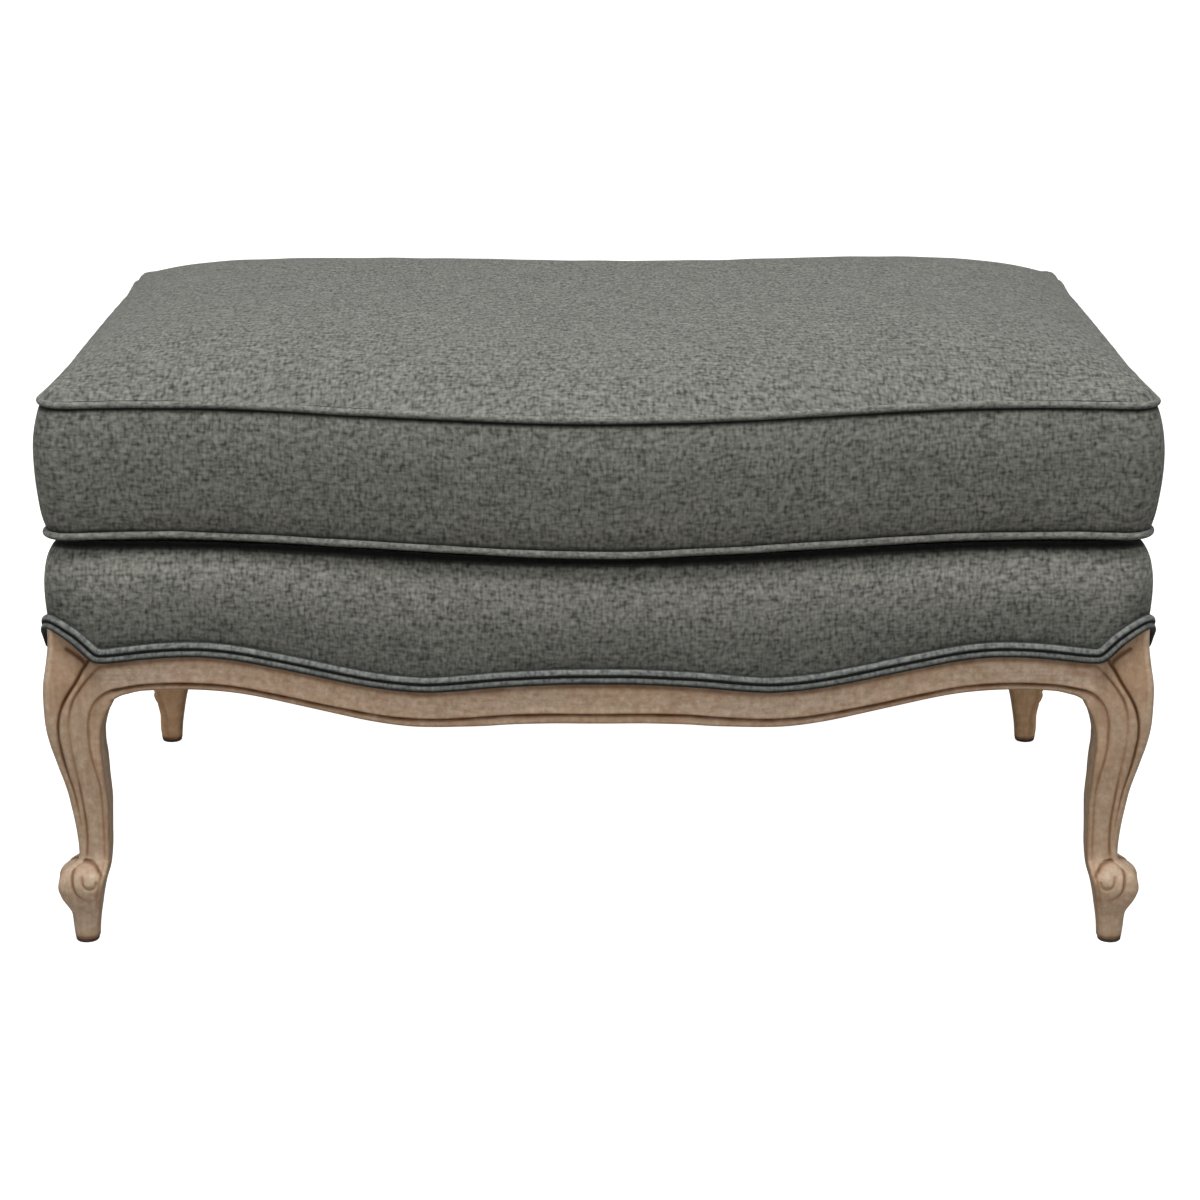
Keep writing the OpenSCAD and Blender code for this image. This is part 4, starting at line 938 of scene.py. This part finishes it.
def slab(name, grow, z_low, z_high, material):
    """A closed flat pad between two levels. Its outline lies grow mm outside the base's."""
    ring, middle, parts = base_ring(grow, DECK_N), np.array([0, -BASE_BOW / 2]), []
    for z, up in ((z_low, False), (z_high, True)):
        rows = np.stack([lift(ring * (1 - k) + middle * k, z) for k in np.linspace(0, 1, 12)[:-1]])
        parts.append(patch(rows, plan_uv(rows), around=True, flip=not up))
        parts.append(fan(rows[-1], np.array([*middle, z]), flip=not up))
    wall = [lift(ring, z_low), lift(ring, z_high)]
    parts.append(patch(wall, [pairs(arc_lengths(ring), z) for z in (z_low, z_high)], around=True))
    return make(name, parts, material)


deck = slab("deck_platform", -8.8, DECK_TOP - 1.4, DECK_TOP - 0.2, DECK)
dress(deck, "frame", "cover_fabric", "deck_cloth")
pad = slab("deck_pad", -13, PAD_LOW, PAD_TOP, FOAM)
dress(pad, "frame", "foam", "deck_foam_pad")
burlap = slab("burlap_cloth", -12.6, BURLAP_Z, BURLAP_Z + 0.7, BURLAP)
dress(burlap, "frame", "burlap_cloth", "burlap")


def double_welt():
    """Two cords side by side in one cover, swept along the wood's upper edge."""
    n = (170, 108, 14)
    # The cords can't turn as sharply as the edge they follow
    path = lift(base_ring(3.5, n), smoothed(trim_z(oblong(BASE_HW, BASE_HD, BASE_R, n)), 5, 2.2))
    tangent = smoothed(along_ring(path), 9, 4.0)
    tangent /= np.linalg.norm(tangent, axis=1, keepdims=True)
    out = lift(outward(tangent), 0)
    up = np.cross(out, tangent)
    up *= np.sign(up[:, 2:3])
    along = arc_lengths(path)
    wobble = waves(path, 90.0, 11, 2) * 0.18
    r = CORD / 2
    # Painted shade: the cords' lower halves, the lower cord a little all over, the upper cord's top, and the
    # creases above, between and below them
    profile, dark = [(0.3, 0.2)], [1]
    for centre in (r, 3 * r):
        for a in np.linspace(-80, 80, 15):
            turn = math.radians(a)
            profile.append((r * 0.85 + r * math.cos(turn), centre + r * math.sin(turn)))
            if centre == r:
                shades = 0.26 + 0.7 * unit((10 - a) / 40), unit((a - 32) / 26)
            else:
                shades = unit((2 - a) / 34), 0.9 * unit((a - 60) / 14)
            dark.append(float(max(shades)))
        if centre == r:
            profile.append((r * 0.9, 2 * r))
            dark.append(1)
    profile.append((0.3, 4 * r))
    dark.append(1)
    girth = np.concatenate([[0], np.cumsum(np.linalg.norm(np.diff(profile, axis=0), axis=1))])
    rows, uv = [], []
    for (o, h), g in zip(profile, girth):
        rows.append(path + out * (o - 0.2 * h + wobble[:, None] * (o > 1)) + up * h)
        uv.append(pairs(along, g))
    uv.append(pairs(along, girth[-1] + 14))
    cords = patch(rows, uv, around=True, over=True, glaze_and_shade=np.array(dark)[:, None])
    dress(make("double_welt_trim", [cords], TRIM), "frame", "welt_fabric", "double_welt")


double_welt()


# Cushion
def soft_grid(step, inset=0.0):
    """Points over the cushion's plan, unwarped: a rectangle's grid with its corners drawn into rounds."""
    hw, hd, r = CUSHION_HW - inset, CUSHION_HD - inset, CUSHION_R
    nx, ny = int(2 * hw / step), int(2 * hd / step)

    def stops(half, n):
        core = np.linspace(-(half - r), half - r, n)
        rim = half - r + r * np.sin(np.linspace(0, 1, 7)[1:] * np.pi / 2)
        return np.concatenate([-rim[::-1], core, rim])

    x, y = np.meshgrid(stops(hw, nx), stops(hd, ny), indexing="xy")
    cx, cy = (np.sign(q) * np.maximum(np.abs(q) - (half - r), 0) / r for q, half in ((x, hw), (y, hd)))
    sx, sy = cx * np.sqrt(1 - cy**2 / 2), cy * np.sqrt(1 - cx**2 / 2)
    return np.stack([x + (sx - cx) * r, y + (sy - cy) * r], -1)


def cushion_cover():
    grid = soft_grid(5.0, -0.6)
    xy = cushion_warp(grid, CUSHION_HD)
    # Distance in from the rounded outline
    in_x, in_y = CUSHION_HW - np.abs(grid[..., 0]), CUSHION_HD - np.abs(grid[..., 1])
    out_x, out_y = CUSHION_R - in_x, CUSHION_R - in_y
    edge = CUSHION_R + 0.6 - np.hypot(np.maximum(out_x, 0), np.maximum(out_y, 0))
    edge = np.maximum(edge - np.minimum(np.maximum(out_x, out_y), 0), 0)
    flat = lift(xy, 0.0)
    soft = waves(flat, 210.0, 21, 3) * 1.1 * (1 - np.exp(-edge / 45))
    # Small puckers where the panel is drawn into its welt
    pucker = waves(flat, 26.0, 8, 2) * 0.3 * np.exp(-(((edge - 9) / 8) ** 2))
    # The edge stands up a little over its welt, and fuller beside the corners
    near = np.exp(-((in_x / 40) ** 2) - (in_y / 40) ** 2)
    rim = 2.6 * np.exp(-edge / 7) + near * 5.5 * edge / 9 * np.exp(1 - edge / 9)
    z = SEAM_HIGH + crown(grid) * (1 - np.exp(-edge / 1.6)) + rim + soft + pucker
    top = patch(lift(xy, z)[::-1], xy[::-1], flip=True)
    # Underside, flat beyond the roll at its seam, with painted shade along its edge
    lower = 8.5 * np.maximum(0, 1 - edge / 34) ** 2
    under = patch(lift(xy, CUSHION_Z + 0.2 + lower), xy, glaze_and_shade=0.9 * np.exp(-((edge / 12) ** 2)))
    return make("cushion_panels", [top, under], COVER)


SWELL_LINE = [
    (0, 0), (0.05, 2.2), (0.1, 3.8), (0.15, 5.1), (0.3, 7.4), (0.45, 8.6), (0.6, 9), (0.75, 7.7),
    (0.88, 4.8), (0.95, 2.5), (1, 0)
]


def boxing():
    """The side strip between the seams, open at the rear where the zip lies."""
    n = (114, 58, 12)
    along = arc_lengths(cushion_ring(0, n))
    flat = oblong(CUSHION_HW, CUSHION_HD, CUSHION_R, n)
    low, tall = SEAM_LOW, SEAM_HIGH - SEAM_LOW
    share = np.linspace(0, 1, 31)

    def row_at(height):
        return int(np.abs(share - (height - low) / tall).argmin())

    for height in (ZIP_LOW, ZIP_HIGH):
        share[row_at(height)] = (height - low) / tall
    # The rear strips lie a little flatter round the zip
    behind = (flat[:, 1] > CUSHION_HD - 1) * ease(1, 0, (np.abs(flat[:, 0]) - 300) / 50)
    rows, uv, dark = [], [], []
    for u in share:
        full = float(knots(SWELL_LINE, u))
        rear = 6.0 * np.sin(np.pi * u) ** 0.8 if 0 < u < 1 else 0.0
        z = low + tall * u
        a, b = cushion_ring(full, n), cushion_ring(rear, n)
        rows.append(lift(a + (b - a) * behind[:, None], z))
        uv.append(pairs(along, z))
        # Painted shade in the creases by the welts, and darker towards the bottom
        seam_shade = groove(tall * (1 - u) - 3.2, 1, 2.3), groove(tall * u - 3, 0.9, 2.4)
        dark.append(max(*seam_shade, 0.07 + 0.2 * float(ease(1, 0, u / 0.24))))
    points = np.stack(rows)
    middle = np.sin(np.pi * share)[:, None]
    soft = waves(points, 150.0, 33, 3) * 0.9 * middle * (1 - behind)
    pucker = waves(points * [1, 1, 0.25], 24.0, 9, 2) * 0.3 * (1 - middle) ** 2
    points[..., :2] += outward(along_ring(points, 1)) * (soft + pucker)[..., None]
    uv = np.stack(uv)
    opening = (np.abs(points[0, :, 0]) < ZIP_END + 0.5) & (points[0, :, 1] > 0)
    first, last = np.flatnonzero(~opening)[[0, -1]] + [-1, 1]
    i = [row_at(height) for height in (ZIP_LOW, ZIP_HIGH)]
    dark = np.broadcast_to(np.array(dark)[:, None], points.shape[:2])
    rear = np.concatenate([np.arange(last, len(flat)), np.arange(0, first + 1)])
    parts = [patch(points[:, first : last + 1], uv[:, first : last + 1], glaze_and_shade=dark[:, first : last + 1])]
    for rows_kept in (slice(0, i[0] + 1), slice(i[1], None)):
        strip = points[rows_kept][:, rear]
        tex = uv[rows_kept][:, rear]
        tex[..., 0] -= np.where(rear >= last, along[-1], 0)
        parts.append(patch(strip, tex, glaze_and_shade=dark[rows_kept][:, rear]))
    # Folded edges round the opening, with painted shade on their inner rows
    folds = [(points[row, rear], [uv[row, rear], uv[row, rear] + [0, 3]]) for row in i]
    folds += [(points[i[0] : i[1] + 1, column], None) for column in (first, last)]
    for k, (edge, tex) in enumerate(folds):
        parts.append(patch([edge, edge - [0, 2.4, 0]], tex, flip=k % 2 == 1, glaze_and_shade=np.array([[0.0], [0.8]])))
    return make("cushion_boxing_cover", parts, COVER)


def welt(name, z, node):
    n = (110, 72, 16)
    path = lift(cushion_ring(WELT_R - 1.2, n), z)
    out = lift(outward(along_ring(path)), 0)
    along = arc_lengths(path)
    thick = WELT_R * (1 + 0.05 * waves(path, 40.0, 17, 2))[:, None]
    drift = waves(path, 160.0, int(z), 2)[:, None] * 0.5
    rows, uv, dark = [], [], []
    for k in range(12):
        a = 2 * np.pi * k / 12
        # Painted shade on the cord's underside
        dark.append(0.95 * float(unit((-math.sin(a) - 0.35) / 0.5)))
        rows.append(path + out * thick * math.cos(a) + [0, 0, 1] * (thick * math.sin(a) + drift))
        uv.append(pairs(along, WELT_R * a))
    uv.append(pairs(along, WELT_R * 2 * np.pi))
    cord = patch(rows, uv, around=True, over=True, glaze_and_shade=np.array(dark)[:, None])
    dress(make(name, [cord], WELT), "cushion", "welt_fabric", node)


panels = cushion_cover()
dress(
    panels, "cushion", "cover_fabric", "cushion_top_panel", "cushion_bottom_panel",
    "cushion_foam_core", "cushion_wrap_top", "cushion_wrap_bottom",
)
sides = boxing()
dress(
    sides, "cushion", "cover_fabric", "cushion_boxing", "cushion_zip_band_upper", "cushion_zip_band_lower"
)
welt("cushion_welt_top", SEAM_HIGH, "cushion_top_welt")
welt("cushion_welt_bottom", SEAM_LOW, "cushion_bottom_welt")


# Dust cover under the frame
def dust_cover():
    ring, middle, rows = base_ring(-35, (60, 38, 6)), np.array([0, -BASE_BOW / 4]), []
    for k in np.linspace(0, 1, 14)[:-1]:
        p = ring * (1 - k) + middle * k
        sag = -DUST_SAG * math.sin(math.pi / 2 * k) + waves(lift(p, 0), 160.0, 5, 2) * 0.5 * k
        rows.append(lift(p, DUST_Z + sag))
    rows = np.stack([lift(ring, DUST_Z - 12), lift(ring, DUST_Z - 6)] + rows)
    centre = fan(rows[-1], np.array([*middle, DUST_Z - DUST_SAG]), flip=True)
    return make("dust_cover_cloth", [patch(rows, plan_uv(rows), around=True, flip=True), centre], CAMBRIC)


cover = dust_cover()
dress(cover, "frame", "black_cambric", "dust_cover")

# The CAD nodes that stay, by the start of their names
KEPT = {
    "glide_": GLIDE, "corner_block_screws": STEEL, "corner_block_": RAW_WOOD, "frame_dowels": RAW_WOOD,
    "webbing_tacks": TACK, "webbing_long": JUTE_LONG, "webbing_cross": JUTE_CROSS,
    "dust_cover_tacks": TACK, "zip_tape": TAPE, "zip_slider": ZIP_METAL, "zip_pull": ZIP_METAL,
}
for name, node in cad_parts.items():
    if node.hide_render:
        continue
    look = next(m for start, m in KEPT.items() if name.startswith(start))
    node.data.materials.clear()
    node.data.materials.append(look)

# Floor, light and camera, in metres, degrees and watts
FLOOR_HALF, FLOOR_COLOUR, FLOOR_SEEN = 30, (0.42, 0.4, 0.37, 1), 0.95
LIGHTS = [
    ("top_light", (-0.1, -1.1, 3.0), (2.6, 1.6), 117),
    ("front_light", (0, -3.6, 1.3), (6.0, 1.6), 31),
    ("rear_light", (0, 3.6, 1.5), (6.0, 1.6), 22),
]
LIGHT_AIM, SKY_LIGHT = (0, 0, 0.3), 0.26
LENS, SENSOR, LENS_SHIFT = 92.28, 36.0, 0.0013
CAMERA_PLACE, CAMERA_PITCH = (0, -2.5177, 0.9264), 74.265

floor_mesh = bpy.data.meshes.new("floor")
floor_corners = [(x * FLOOR_HALF, y * FLOOR_HALF, 0) for x, y in ((-1, -1), (1, -1), (1, 1), (-1, 1))]
floor_mesh.from_pydata(floor_corners, [], [(0, 1, 2, 3)])
floor = link(bpy.data.objects.new("floor", floor_mesh))
# It shows white in the picture and still takes shadows
s = Shader("floor", roughness=0.9)
s.surface(Emission_Color=(1, 1, 1, 1), Emission_Strength=s.times(s.node("LightPath", 0), FLOOR_SEEN))
floor_mesh.materials.append(s.finish(FLOOR_COLOUR))
floor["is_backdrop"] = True

for name, place, size, power in LIGHTS:
    light = bpy.data.lights.new(name, "AREA")
    light.shape, light.energy = "RECTANGLE", power
    light.size, light.size_y = size
    lamp = link(bpy.data.objects.new(name, light))
    lamp.location = place
    lamp.rotation_euler = (Vector(LIGHT_AIM) - Vector(place)).to_track_quat("-Z", "Y").to_euler()

# The sky is white where the camera sees it and dimmer for everything else
scene = bpy.context.scene
scene.world = bpy.data.worlds.new("studio")
scene.world.use_nodes = True
sky = scene.world.node_tree
seen = sky.nodes.new("ShaderNodeLightPath").outputs[0]
lit = sky.nodes.new("ShaderNodeMath")
lit.operation = "MULTIPLY_ADD"
lit.inputs[1].default_value, lit.inputs[2].default_value = 1 - SKY_LIGHT, SKY_LIGHT
sky.links.new(seen, lit.inputs[0])
background = sky.nodes["Background"].inputs
background[0].default_value = (1, 1, 1, 1)
sky.links.new(lit.outputs[0], background[1])

view = bpy.data.cameras.new("camera")
view.lens, view.sensor_width, view.shift_x = LENS, SENSOR, LENS_SHIFT
scene.camera = link(bpy.data.objects.new("camera", view))
scene.camera.location = CAMERA_PLACE
scene.camera.rotation_euler = (math.radians(CAMERA_PITCH), 0, 0)
scene.view_settings.view_transform = "Standard"

low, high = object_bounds()
